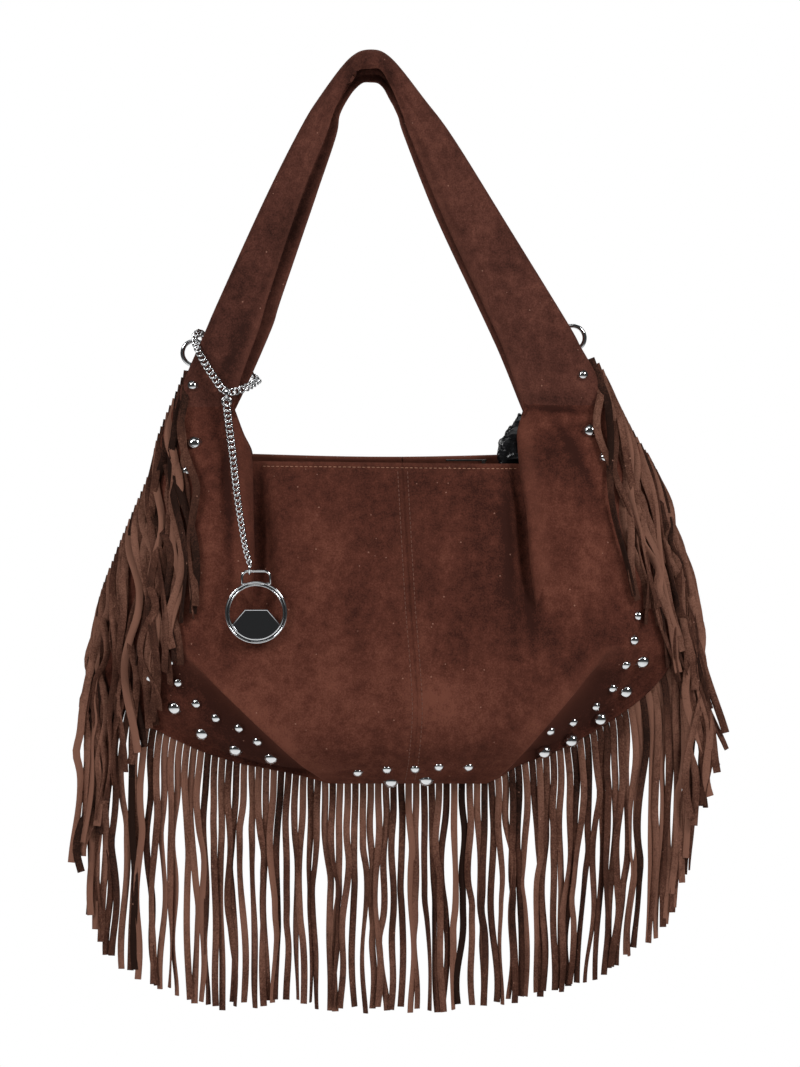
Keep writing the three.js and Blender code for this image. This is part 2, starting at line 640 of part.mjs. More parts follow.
// Zip: tapes sewn inside the mouth, two rows of teeth standing open, slider and pull at the right end.
const ZIP_NEAR_HALF = ZIP_SLIDER_W / 2 + CLEARANCE + ZIP_TEETH_W / 2;
const TEETH_ROUTE = [
  [ZIP_LEFT, ZIP_NEAR_HALF], [ZIP_LEFT + 22, ZIP_OPEN_HALF], [40, ZIP_OPEN_HALF], [62, ZIP_NEAR_HALF + 1.4],
  [ZIP_SLIDER_X - ZIP_SLIDER_L / 2, ZIP_NEAR_HALF], [ZIP_RIGHT, ZIP_NEAR_HALF],
];
const teethOffset = along(TEETH_ROUTE);
const ZIP_STEPS = 14;

function zipStrip(facing, inner, outer, low, high) {
  const row = (edge, z) => steps(ZIP_STEPS).map((t) => {
    const x = mix(ZIP_LEFT, ZIP_RIGHT, t);
    return [x, facing * edge(x), z];
  });
  return sheet([row(inner, low), row(inner, high)], [row(outer, low), row(outer, high)]);
}

for (const [name, facing] of [["front", -1], ["back", 1]]) {
  const teethInner = (x) => teethOffset(x) - ZIP_TEETH_W / 2;
  const teethOuter = (x) => teethOffset(x) + ZIP_TEETH_W / 2;
  const tapeInner = (x) => teethOuter(x) + CLEARANCE;
  const tapeOuter = (x) => Math.max(tapeInner(x) + ZIP_TAPE, 0);
  const teeth = zipStrip(facing, teethInner, teethOuter, ZIP_Z - ZIP_TEETH_H, ZIP_Z);
  addNode(`zip_teeth_${name}`, teeth, DARK_METAL);
  addNode(`zip_tape_${name}`, zipStrip(facing, tapeInner, tapeOuter, ZIP_Z - 8, ZIP_Z + 1), LINING_BLACK);
}

function block(lengthX, widthY, heightZ, centre) {
  const box = new THREE.BoxGeometry(lengthX, widthY, heightZ);
  box.translate(...centre);
  return box;
}

const sliderTop = ZIP_Z + ZIP_SLIDER_H / 2;
const PULL_PIN_R = 0.9;
const PULL_EYE_R = PULL_PIN_R * Math.SQRT2 + CLEARANCE;
const PULL_EYE_WALL = 0.8;
const pullPinZ = sliderTop + PULL_EYE_R + PULL_EYE_WALL + CLEARANCE;
const POST_W = 1.4;
const postY = ZIP_PULL_W / 2 + 1.3;
const postHeight = pullPinZ - sliderTop + PULL_PIN_R;
addNode("zip_slider", join(
  block(ZIP_SLIDER_L, ZIP_SLIDER_W, ZIP_SLIDER_H, [ZIP_SLIDER_X, 0, ZIP_Z]),
  block(2 * PULL_PIN_R, 2 * postY, 2 * PULL_PIN_R, [ZIP_SLIDER_X, 0, pullPinZ]),
  block(2 * PULL_PIN_R, POST_W, postHeight + 0.4, [ZIP_SLIDER_X, postY, sliderTop + postHeight / 2 - 0.2]),
  block(2 * PULL_PIN_R, POST_W, postHeight + 0.4, [ZIP_SLIDER_X, -postY, sliderTop + postHeight / 2 - 0.2]),
), DARK_METAL);

// The pull is a flat bar with an eye round the slider's cross pin; it lies back along the zip.
function zipPull() {
  const outline = new THREE.Shape();
  outline.absarc(0, 0, PULL_EYE_R + PULL_EYE_WALL, -Math.PI / 2, Math.PI / 2);
  outline.lineTo(-ZIP_PULL_L, ZIP_PULL_THICK / 2);
  outline.lineTo(-ZIP_PULL_L, -ZIP_PULL_THICK / 2);
  outline.closePath();
  outline.holes.push(new THREE.Path().absarc(0, 0, PULL_EYE_R, 0, 2 * Math.PI));
  const pull = new THREE.ExtrudeGeometry(outline, { depth: ZIP_PULL_W - 2, bevelEnabled: false, curveSegments: 8 });
  pull.rotateX(Math.PI / 2);
  pull.translate(ZIP_SLIDER_X, ZIP_PULL_W / 2 - 1, pullPinZ);
  return pull;
}

addNode("zip_pull", zipPull(), DARK_METAL);

// The coated end tab stands folded at the right end of the mouth.
addNode("zip_end_tab", block(END_TAB_W, END_TAB_THICK, END_TAB_H,
  [ZIP_RIGHT + CLEARANCE + END_TAB_W / 2, 0, ZIP_Z - 1 + END_TAB_H / 2]), COATED_BLACK);

// Dome studs, each seated on the face of the suede behind it.
const SMALL_STUDS = [
  [-124.6, -211.8], [-128.5, -270.9],
  [-140, -403.2], [-134.4, -417.9], [-121.8, -432.6], [-108.2, -442.4], [-91.7, -448.7], [-79, -458],
  [-9.8, -479.5], [10.5, -477.1], [30, -476.7], [46.5, -475.3], [67.2, -475.7],
  [184.8, -371.7], [182, -388.5], [176.4, -406], [167.7, -422.5], [156.1, -435.4], [140, -445.9],
  [123.9, -451.9], [147, -204.4], [161.7, -261.8],
];
const LARGE_STUDS = [
  [-123.2, -252], [-154, -413.7], [-137.2, -436.1], [-118.3, -453.6], [-95.2, -464.8], [-70, -469.7],
  [13.3, -487], [37.8, -485.1],
  [188.3, -403.9], [177.1, -424.9], [159.6, -444.5], [139.3, -459.2], [119, -465.6], [151.9, -243.6],
];
const DOME_SHARE = 0.42;           // a stud's height over its diameter
const DOME_RINGS = 3;
const DOME_SIDES = 8;

function dome(diameter) {
  const radius = diameter / 2;
  const height = diameter * DOME_SHARE;
  const profile = steps(DOME_RINGS).map((t) => {
    const turn = (t * Math.PI) / 2;
    return new THREE.Vector2(radius * Math.cos(turn), height * Math.sin(turn));
  });
  profile[DOME_RINGS].x = 0;
  return new THREE.LatheGeometry([new THREE.Vector2(0, 0), ...profile], DOME_SIDES);
}

bag.updateMatrixWorld(true);
const suede = [frontLeft, frontRight, handle];
const caster = new THREE.Raycaster();
const VIEW_Y = -200;
const RIM_SAMPLES = 12;

function suedeAt(x, z) {
  caster.set(new THREE.Vector3(x, VIEW_Y, z), new THREE.Vector3(0, 1, 0));
  const hit = caster.intersectObjects(suede)[0];
  return hit && hit.point.y < 0 ? hit.point : null;
}

// The rim spans the facets below it: the dome is turned to their mean slope and raised clear of them.
function studOnSuede(x, z, diameter) {
  const reach = diameter / 2;
  const centre = suedeAt(x, z);
  const round = steps(RIM_SAMPLES).slice(1).map((t) => {
    const turn = 2 * Math.PI * t;
    return suedeAt(x + reach * Math.cos(turn), z + reach * Math.sin(turn)) ?? centre;
  });
  const half = RIM_SAMPLES / 2;
  const across = round[half - 1].clone().sub(round[RIM_SAMPLES - 1]);
  const up = round[half / 2 - 1].clone().sub(round[half / 2 * 3 - 1]);
  const normal = up.cross(across).normalize();
  if (normal.y > 0) normal.negate();
  const raise = Math.max(0, ...round.map((point) => point.clone().sub(centre).dot(normal)));
  const seat = centre.clone().addScaledVector(normal, STUD_SEAT + raise);
  const stud = dome(diameter);
  stud.applyQuaternion(new THREE.Quaternion().setFromUnitVectors(new THREE.Vector3(0, 1, 0), normal));
  stud.translate(seat.x, seat.y, seat.z);
  return stud;
}

for (const [kind, places, diameter] of [
  ["small", SMALL_STUDS, SMALL_STUD_D],
  ["large", LARGE_STUDS, LARGE_STUD_D],
]) {
  places.forEach(([x, z], i) => addNode(`${kind}_stud_${i + 1}`, studOnSuede(x, z, diameter), CHROME));
}

export default bag;
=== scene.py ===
# A fringed suede shoulder bag, hung by its handle and seen from the front.
import math
import random
import bpy
import numpy as np
from mathutils import Matrix, Vector, noise
from mathutils.bvhtree import BVHTree


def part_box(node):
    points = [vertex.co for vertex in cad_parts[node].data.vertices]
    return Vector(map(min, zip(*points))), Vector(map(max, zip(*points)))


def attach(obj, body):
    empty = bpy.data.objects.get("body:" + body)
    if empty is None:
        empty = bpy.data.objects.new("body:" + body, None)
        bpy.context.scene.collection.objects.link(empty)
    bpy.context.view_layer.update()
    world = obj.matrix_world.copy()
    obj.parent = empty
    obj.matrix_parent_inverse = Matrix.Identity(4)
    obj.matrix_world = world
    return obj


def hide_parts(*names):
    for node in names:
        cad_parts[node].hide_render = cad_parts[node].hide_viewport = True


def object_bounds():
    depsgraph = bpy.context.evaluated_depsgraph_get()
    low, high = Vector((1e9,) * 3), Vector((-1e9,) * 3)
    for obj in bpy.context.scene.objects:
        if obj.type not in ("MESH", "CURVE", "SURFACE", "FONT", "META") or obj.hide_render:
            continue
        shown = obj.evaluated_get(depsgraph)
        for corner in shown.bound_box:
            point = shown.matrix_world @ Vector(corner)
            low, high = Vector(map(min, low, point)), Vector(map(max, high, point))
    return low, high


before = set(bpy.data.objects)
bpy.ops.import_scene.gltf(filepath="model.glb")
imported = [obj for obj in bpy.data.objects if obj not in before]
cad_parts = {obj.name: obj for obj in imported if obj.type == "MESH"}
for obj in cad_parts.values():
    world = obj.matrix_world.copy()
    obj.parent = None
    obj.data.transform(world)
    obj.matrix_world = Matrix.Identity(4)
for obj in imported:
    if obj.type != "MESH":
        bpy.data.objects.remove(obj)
cad_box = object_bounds()

# The photographer's camera: a long lens, a little above the middle of the hanging bag.
# The picture is 800 by 1067 and one of its pixels is 0.7 mm at the bag.
MM = 0.001
PICTURE_W, PICTURE_H = 800, 1067
PIXEL = 0.7 * MM
HANG_PX, HANG_PY = 372, 83
camera_far = 3.0
camera_tilt = math.radians(2.0)


def placed(name, data, place=(0, 0, 0), turn=(0, 0, 0)):
    """A new object in the scene."""
    obj = bpy.data.objects.new(name, data)
    obj.location = place
    obj.rotation_euler = turn
    bpy.context.scene.collection.objects.link(obj)
    return obj


aim = Vector(((PICTURE_W / 2 - HANG_PX) * PIXEL, 0, (HANG_PY - PICTURE_H / 2) * PIXEL))
lens = bpy.data.cameras.new("camera")
lens.sensor_fit = "HORIZONTAL"
lens.sensor_width = 36
lens.lens = lens.sensor_width * camera_far / (PICTURE_W * PIXEL)
camera_place = aim + camera_far * Vector((0, -math.cos(camera_tilt), math.sin(camera_tilt)))
bpy.context.scene.camera = placed("camera", lens, camera_place, (math.pi / 2 - camera_tilt, 0, 0))
bpy.context.scene.view_settings.view_transform = "Standard"


# The studio: white paper under and behind the bag, a soft box on each side, one overhead, a light behind.
# The paper and the world look white themselves, but a mirror sees them dimmer, so that metal keeps its darks.
class Value:
    """A shader socket that takes part in Python sums."""

    def __init__(self, nodes, socket):
        self.nodes, self.socket = nodes, socket

    def math(self, operation, other=0.0, **settings):
        return self.nodes("ShaderNodeMath", self, other, operation=operation, **settings)

    def clamped(self):
        return self.math("ADD", use_clamp=True)

    __add__ = __radd__ = lambda self, other: self.math("ADD", other)
    __mul__ = __rmul__ = lambda self, other: self.math("MULTIPLY", other)
    __sub__ = lambda self, other: self.math("SUBTRACT", other)
    __rsub__ = lambda self, other: self.nodes("ShaderNodeMath", other, self, operation="SUBTRACT")


class Nodes:
    """A node tree. Each call adds a node: words in small letters are its settings, the others its sockets."""

    def __init__(self, tree):
        self.tree = tree
        tree.nodes.clear()

    def __call__(self, kind, *values, output=0, stops=(), **words):
        made = self.tree.nodes.new(kind)
        sockets = dict(enumerate(values))
        for name, value in words.items():
            if name[0].islower():
                setattr(made, name, value)
            else:
                sockets[name.replace("_", " ")] = value
        if stops:
            ramp = made.color_ramp.elements
            while len(ramp) < len(stops):
                ramp.new(0.5)
            for stop, (place, colour) in zip(ramp, stops):
                stop.position, stop.color = place, colour
        for key, value in sockets.items():
            if isinstance(value, Value):
                self.tree.links.new(value.socket, made.inputs[key])
            elif value is not None:
                made.inputs[key].default_value = value
        return Value(self, made.outputs[output]) if made.outputs else None


class Material(Nodes):
    """A material whose textures lie in the object's own coordinates."""

    def __init__(self, name):
        self.made = bpy.data.materials.new(name)
        self.made.use_nodes = True
        super().__init__(self.made.node_tree)
        self.place = self("ShaderNodeTexCoord", output="Object")

    def clouds(self, scale, detail, rough=0.5, **words):
        words = {"Vector": self.place, **words}
        return self("ShaderNodeTexNoise", Scale=scale, Detail=detail, Roughness=rough, **words)

    def ramp(self, value, *stops):
        return self("ShaderNodeValToRGB", value, stops=stops)

    def blend(self, share, first, second):
        return self("ShaderNodeMix", share, *[None] * 5, first, second, data_type="RGBA", output=2)

    def bump(self, height, strength, distance):
        return self("ShaderNodeBump", Height=height, Strength=strength, Distance=distance)

    def skin(self, colour, roughness, normal, **more):
        return self.done(self("ShaderNodeBsdfPrincipled", Base_Color=colour, Roughness=roughness,
                              Normal=normal, **more))

    def done(self, shader):
        self("ShaderNodeOutputMaterial", shader)
        return self.made


def mesh_object(name, vertices, edges=(), faces=(), material=None, **attributes):
    """A mesh as an object; each attribute gives a number or a vector for every point."""
    mesh = bpy.data.meshes.new(name)
    mesh.from_pydata(vertices, edges, faces)
    for label, values in attributes.items():
        values = np.asarray(values, np.float32)
        kind, field = ("FLOAT_VECTOR", "vector") if values.ndim == 2 else ("FLOAT", "value")
        mesh.attributes.new(label, kind, "POINT").data.foreach_set(field, values.ravel())
    if material:
        mesh.materials.append(material)
    return placed(name, mesh)


paper_white = (0.85, 0.85, 0.85, 1)
pure_white = (1, 1, 1, 1)
mirror_near, mirror_far, mirror_fade = 0.8, 1.7, 0.93
floor_drop = 0.06
floor_half = 4.0
world_light, world_in_mirrors = 0.16, 0.045
light_aim = Vector((0, 0, -0.32))


def rays(nodes, *kinds):
    return [nodes("ShaderNodeLightPath", output=f"Is {kind} Ray") for kind in kinds]


def paper_material():
    made = Material("white_sweep")
    seen, mirrored, through = rays(made, "Camera", "Glossy", "Transmission")
    away = made("ShaderNodeVectorMath", made.place, operation="LENGTH", output="Value")
    fade = ((away - mirror_near) * (1 / (mirror_far - mirror_near))).clamped() * mirror_fade
    glow = made("ShaderNodeEmission", 1 - mirrored * fade, 1.0)
    paper = made("ShaderNodeBsdfDiffuse", paper_white)
    shown = seen.math("MAXIMUM", mirrored).math("MAXIMUM", through)
    return made.done(made("ShaderNodeMixShader", shown, paper, glow))


floor_z = cad_box[0][2] - floor_drop
floor = mesh_object("floor", [(x * floor_half, y * floor_half, floor_z)
                              for x, y in ((-1, -1), (1, -1), (1, 1), (-1, 1))],
                    faces=[(0, 1, 2, 3)], material=paper_material())

for name, place, size, power in (
        ("soft_box_left", (-1.7, -1.35, 0.85), (0.6, 0.8), 20),
        ("soft_box_right", (1.6, -1.45, 0.95), (0.7, 0.8), 29.5),
        ("overhead_box", (-0.5, -1.3, 1.5), (1.3, 0.8), 4),
        ("back_light", (0.0, 1.8, 1.0), (1.6, 1.0), 14)):
    lamp = bpy.data.lights.new(name, "AREA")
    lamp.shape = "RECTANGLE"
    lamp.size, lamp.size_y = size
    lamp.energy = power
    placed(name, lamp, place, (light_aim - Vector(place)).to_track_quat("-Z", "Y").to_euler())

world = bpy.data.worlds.new("studio")
bpy.context.scene.world = world
world.use_nodes = True
sky = Nodes(world.node_tree)
sky_seen, sky_mirrored, sky_through = rays(sky, "Camera", "Glossy", "Transmission")
room = sky("ShaderNodeBackground", pure_white, sky_mirrored * (world_in_mirrors - world_light) + world_light)
backdrop = sky("ShaderNodeBackground", pure_white, 1.0)
shown = sky_seen.math("MAXIMUM", sky_through)
sky("ShaderNodeOutputWorld", sky("ShaderNodeMixShader", shown, room, backdrop))


# The body: four suede panels, two in front and two behind, sewn down the middle and round the sides.
# The outline is the side seam; the belly sags over the lower corners and the mouth stands slightly open.
# Beside the mouth each panel carries a folded strip that runs up under the handle's foot.
mouth_z, strap_end_z, strip_end_z, hem_z = -264.6 * MM, -227.5 * MM, -392 * MM, -490.7 * MM
seam_lay = 2.4 * MM
suede_thick = 2.0 * MM
half_gap = -0.1 * MM
# Lines by height: (z, x) in millimetres, or (z, depth) and (z, rise).
LEFT_SEAM = [
    (-197.4, -127.4), (-215.6, -134.4), (-234.5, -142.8), (-249.9, -148.4), (-269.5, -152.6),
    (-291.9, -161.7), (-319.9, -173.6), (-361.9, -189), (-389.9, -191.8), (-414.4, -187.6),
    (-431.9, -179.2), (-445.9, -163.8), (-456.4, -144.9), (-466.9, -121.8), (-475.3, -95.9),
    (-481, -68), (-486, -48), (-490.7, -30),
]
RIGHT_SEAM = [
    (-189, 149.1), (-198.1, 157.5), (-212.8, 164.5), (-240.8, 178.5), (-261.1, 191.1),
    (-275.8, 198.8), (-298.9, 205.1), (-323.4, 214.9), (-340.9, 219.1), (-361.9, 221.2),
    (-382.9, 218.4), (-403.9, 211.4), (-421.4, 198.8), (-435.4, 183.4), (-449.4, 163.1),
    (-463.4, 138.6), (-473.9, 114.1), (-482.3, 98), (-490.7, 80),
]
CENTRE_SEAM = [(-264.6, 21), (-361.9, 26.6), (-431.9, 31.5), (-471.8, 29), (-490.7, 26)]
BODY_DEPTH = [
    (-264.6, 12.6), (-290, 24), (-320, 33), (-350, 39.5), (-380, 43), (-410, 45.5), (-440, 46),
    (-460, 43), (-472, 35), (-481, 23), (-487, 12), (-490.7, 0),
]
STRIP_RISE = [(-227.5, 8), (-245, 12), (-264.6, 14), (-300, 10), (-340, 5), (-372, 0)]
GROOVE_DEPTH = [(-264.6, 3.5), (-280, 9), (-310, 14), (-350, 12.0), (-380, 6.0), (-400, 2.0), (-430, 0)]
LEFT_STRIP_EDGE = [(-227.5, -96.6), (-245, -90), (-259, -84), (-300, -82), (-372, -80)]
RIGHT_STRIP_EDGE = [(-227.5, 106.4), (-243, 101.5), (-255, 101.5), (-271, 102.9), (-306, 107.8), (-372, 111)]


def along(pairs):
    """A smooth value along a list of (position, value) pairs in millimetres, on arrays in metres."""
    place, value = np.array(sorted(pairs), float).T * MM
    slope = np.empty_like(value)
    slope[1:-1] = (value[2:] - value[:-2]) / (place[2:] - place[:-2])
    slope[0] = (value[1] - value[0]) / (place[1] - place[0])
    slope[-1] = (value[-1] - value[-2]) / (place[-1] - place[-2])

    def at(position):
        p = np.clip(position, place[0], place[-1])
        i = np.clip(np.searchsorted(place, p, side="right") - 1, 0, len(place) - 2)
        width = place[i + 1] - place[i]
        t = (p - place[i]) / width
        return ((2 * t**3 - 3 * t**2 + 1) * value[i] + (t**3 - 2 * t**2 + t) * width * slope[i]
                + (3 * t**2 - 2 * t**3) * value[i + 1] + (t**3 - t**2) * width * slope[i + 1])
    return at


def smooth(t):
    k = np.clip(t, 0, 1)
    return k * k * (3 - 2 * k)


def mix(a, b, t):
    return a + (b - a) * t


seams = {-1: along(LEFT_SEAM), 1: along(RIGHT_SEAM)}
centre_seam, body_depth = along(CENTRE_SEAM), along(BODY_DEPTH)
strip_rise, groove_depth = along(STRIP_RISE), along(GROOVE_DEPTH)
strip_edges = {-1: along(LEFT_STRIP_EDGE), 1: along(RIGHT_STRIP_EDGE)}

panel_roundness = 3.5
# Each belly fold: its upper and lower end in millimetres, and its side.
belly_folds = [((-121, -407), (-36, -488), -1), ((146, -418.6), (100, -474), 1)]
fold_start_z, fold_full_z = -392 * MM, -425 * MM
fold_depth, fold_soft = 12.5 * MM, 3.0 * MM
fold_overhang, fold_reach, hem_ease = 3.6 * MM, 5 * MM, 16 * MM
# Painted shadow under each belly fold and a paler band painted just above it.
fold_shadow_tone, fold_shadow_edge, fold_shadow_wide = 0.62, 0.8 * MM, 20 * MM
fold_pale, fold_pale_up, fold_pale_wide = 0.16, 7 * MM, 6 * MM


def fold_lines(x, z):
    """For each belly fold: distance past it, the way across it and how far it has opened."""
    opened = smooth((fold_start_z - z) / (fold_start_z - fold_full_z))
    for high, low, side in belly_folds:
        hx, hz, lx, lz = [v * MM for v in (*high, *low)]
        length = math.hypot(lx - hx, lz - hz)
        way = (-side * (lz - hz) / length, side * (lx - hx) / length)
        yield (x - hx) * way[0] + (z - hz) * way[1], way, opened


def above_hem(z):
    return smooth((z - hem_z) / hem_ease)


def fold_shift(x, z):
    """The belly bulges over its fold and the corner tucks in under it."""
    shift_x, shift_z = np.zeros_like(x), np.zeros_like(x)
    for across, way, opened in fold_lines(x, z):
        over = np.exp(-(across / fold_reach + 0.5)**2) - np.exp(-(across / fold_reach - 0.5)**2)
        move = over * opened * above_hem(z) * fold_overhang
        shift_x += way[0] * move
        shift_z += way[1] * move
    return shift_x, shift_z


def fold_shade(x, z):
    """Painted shadow under the fold, where the tucked corner lies in shade, and a paler band painted just
    above the fold line.
    """
    total = np.zeros_like(x)
    for across, _, opened in fold_lines(x, z):
        shadow = np.exp(-(across / np.where(across > 0, fold_shadow_wide, fold_shadow_edge))**2)
        paler_share = np.exp(-((across + fold_pale_up) / fold_pale_wide)**2)
        total += (fold_pale * paler_share - fold_shadow_tone * shadow) * opened * above_hem(z)
    return total


def seam_share(x, z):
    """Nought midway between the side seams and one at a seam."""
    low, high = seams[-1](z), seams[1](z)
    return np.clip(np.abs(x - (low + high) / 2) / ((high - low) / 2), 0, 1)


def front_depth(x, z):
    """How far the outer face of the front stands off the plane of the side seams."""
    rounded = 1 - seam_share(x, z)**panel_roundness
    recess = np.zeros_like(x)
    for across, _, opened in fold_lines(x, z):
        recess = np.maximum(recess, fold_depth * smooth(across / fold_soft + 0.5) * opened)
    return seam_lay + np.maximum(0, body_depth(z) * rounded - recess * smooth(rounded * 4))


def soft_spots(x, z, spots):
    """Sum of soft-edged ovals: place and reaches in picture pixels, turn in radians, strength."""
    total = np.zeros_like(x)
    for px, py, reach_x, reach_y, turn, strength in spots:
        u = x - (px - HANG_PX) * PIXEL
        v = z - (HANG_PY - py) * PIXEL
        c, s = math.cos(turn), math.sin(turn)
        a = (u * c + v * s) / (reach_x * PIXEL)
        b = (-u * s + v * c) / (reach_y * PIXEL)
        total += strength * np.exp(-(a * a + b * b))
    return total


groove_side = 3 * MM
groove_wide = {-1: 9 * MM, 1: 8 * MM}


def strip_groove(x, z):
    """The front dips in beside the inner edge of each side strip."""
    past = {side: x - strip_edges[side](z) + side * groove_side for side in (-1, 1)}
    return groove_depth(z) * sum(np.exp(-(past[side] / groove_wide[side])**2) for side in (-1, 1))


def crumple(x, y, z, scale, height):
    """Gentle unevenness of hung suede."""
    places = zip(x.ravel(), y.ravel(), z.ravel())
    swells = [noise.fractal(Vector(place) * scale, 0.9, 2.1, 3) for place in places]
    return np.array(swells).reshape(x.shape) * height


# Hollows and swells in millimetres, then patches painted darker or paler: painted shade in the grooves beside
# the side strips, on the corners under the belly folds and towards the mouth, and painted light on the belly,
# among a few patches of the suede's own brushing.
front_dents = [
    (300, 560, 30, 80, 0.2, 1.2), (350, 520, 24, 60, -0.1, -1.0),
    (560, 640, 16, 60, 0.5, -1.8), (590, 590, 14, 50, 0.35, 1.8),
    (470, 600, 30, 60, 0.2, 1.0), (440, 690, 50, 24, 0.1, 1.4), (300, 660, 40, 30, -0.3, -1.2),
    (540, 690, 22, 26, 0.6, -1.6), (250, 650, 22, 40, -0.2, 1.4), (350, 620, 22, 50, 0.1, 1.2),
]
strip_dents = [
    (555, 411, 36, 4, -0.05, -5.0), (560, 424, 30, 6, 0.15, 2.4), (227, 500, 5, 60, 0.03, -4.0),
    (545, 600, 8, 40, 0.25, -4.0), (570, 560, 8, 46, 0.35, 2.5), (236, 540, 6, 50, -0.05, 2.0),
    (536, 520, 7, 50, -0.08, -3.0),
]
front_nap = [
    (390, 480, 150, 45, 0, -0.16), (300, 585, 60, 60, 0, 0.1), (330, 700, 120, 45, 0, 0.22),
    (507, 545, 8, 75, 0.02, -0.36), (215, 742, 60, 20, -0.4, -0.22), (595, 722, 60, 18, 0.62, -0.12),
    (254, 530, 8, 70, 0.03, -0.26), (578, 462, 40, 5, -1.1, -0.34), (592, 500, 40, 14, -1.15, -0.16),
    (545, 590, 9, 34, 0.1, 0.2), (528, 600, 5, 40, 0.05, -0.25), (584, 640, 12, 40, -0.3, -0.16),
    (590, 560, 45, 60, 0.2, 0.14), (460, 620, 30, 50, 0.2, -0.12),
    (440, 700, 40, 22, 0.1, 0.18), (360, 640, 16, 60, 0.1, -0.1), (550, 640, 10, 46, 0.5, -0.22),
    (575, 610, 10, 50, 0.4, 0.2), (280, 640, 18, 50, -0.5, 0.12), (230, 500, 5, 70, 0.03, -0.4),
    (550, 408, 34, 4, -0.05, -0.45), (545, 425, 26, 6, 0.15, 0.15), (545, 460, 30, 30, 0, -0.18),
    (225, 420, 20, 50, 0, -0.14), (480, 560, 16, 60, 0.1, -0.12), (600, 650, 30, 24, 0.2, -0.1),
]
back_mirror_x = 40 * MM
seam_dip, seam_dip_wide = 1.1 * MM, 2.2 * MM
# Crumples: how many to a metre, and how high.
panel_swells, panel_crumple, strip_swells, strip_crumple = 16, 2.6 * MM, 22, 3.0 * MM
crumple_below, crumple_above, dents_below = 20 * MM, 14 * MM, 25 * MM
front_droop, droop_from, droop_to = 1.6 * MM, -77 * MM, 101 * MM
back_lift, back_sag, back_middle_x, back_sag_reach = 4.4 * MM, 1.6 * MM, 12 * MM, 52 * MM


# Painted shade and light patches, mirrored for the back.
def nap_tone(x, z, facing):
    return soft_spots(x if facing < 0 else back_mirror_x - x, z, front_nap)


def panel_face(x, z, facing):
    """How far the worn face of a panel stands off the plane of the side seams."""
    below_mouth = mouth_z - z
    ease = smooth((1 - seam_share(x, z)) * 6) * smooth(below_mouth / crumple_below)
    ease = ease * smooth((z - hem_z) / crumple_above)
    y = front_depth(x, z) - np.exp(-((x - centre_seam(z)) / seam_dip_wide)**2) * seam_dip
    if facing < 0:
        y = y + MM * soft_spots(x, z, front_dents) * smooth(below_mouth / dents_below) - strip_groove(x, z)
    return y + crumple(x, x * 0 + facing, z, panel_swells, panel_crumple) * ease


def mouth_edge(x, facing):
    """The front droops a little to the right; the back stands higher and sags between the side strips."""
    if facing < 0:
        return mouth_z - front_droop * smooth((x - droop_from) / (droop_to - droop_from))
    return mouth_z + back_lift - back_sag * np.cos((x - back_middle_x) / back_sag_reach)


panel_rows, panel_columns = 200, 120
mouth_ease = 45 * MM
fold_wear, mouth_wear, seam_wear = (0.9, 5 * MM), (0.8, 3 * MM), (0.25, 7 * MM)


def half_panel(side, facing):
    down, across = np.linspace(0, 1, panel_rows)[:, None], np.linspace(0, 1, panel_columns)[None, :]
    z = mix(mouth_z, hem_z, 1 - (1 - down)**1.6) + 0 * across
    x = mix(seams[side](z), centre_seam(z) + side * half_gap, across)
    y = panel_face(x, z, facing)
    shift_x, shift_z = fold_shift(x, z)
    # Painted shadow under the belly folds, plus the painted shade and light patches.
    nap = fold_shade(x, z) + nap_tone(x, z, facing)
    x, z = x + shift_x, z + shift_z
    z = z + (mouth_edge(x, facing) - mouth_z) * smooth(1 - (mouth_z - z) / mouth_ease)
    past_fold = np.maximum.reduce([across for across, _, _ in fold_lines(x, z)])
    wear = fold_wear[0] * np.exp(-np.abs(past_fold) / fold_wear[1]) * (z < fold_start_z)
    wear += mouth_wear[0] * np.exp(-(mouth_z - z) / mouth_wear[1])
    wear += seam_wear[0] * np.exp(-((x - centre_seam(z)) / seam_wear[1])**2)
    return x, y, z, wear, nap


strip_rows, strip_columns, roll_columns = 90, 40, 10
roll_radius, roll_turn, roll_least = 4.2 * MM, math.radians(165), 0.05 * MM
strip_head, strip_fade, strip_sink = 8 * MM, 70 * MM, 2.4 * MM
# Down from the handle's foot: the roll is full, the belly and the dents begin, the foot's shape ends.
# The dents end a little above the strip's lower end.
roll_full, belly_from, dents_from, foot_shape_to, dents_end = [d * MM for d in (25, 12, 10, 34, 30)]
strip_wear, strip_wear_at, strip_wear_wide = 0.7, 0.97, 0.06
foot_half = 10.5 * MM
foot_lean = {-1: (0.40, 0.40), 1: (0.40, 0.43)}


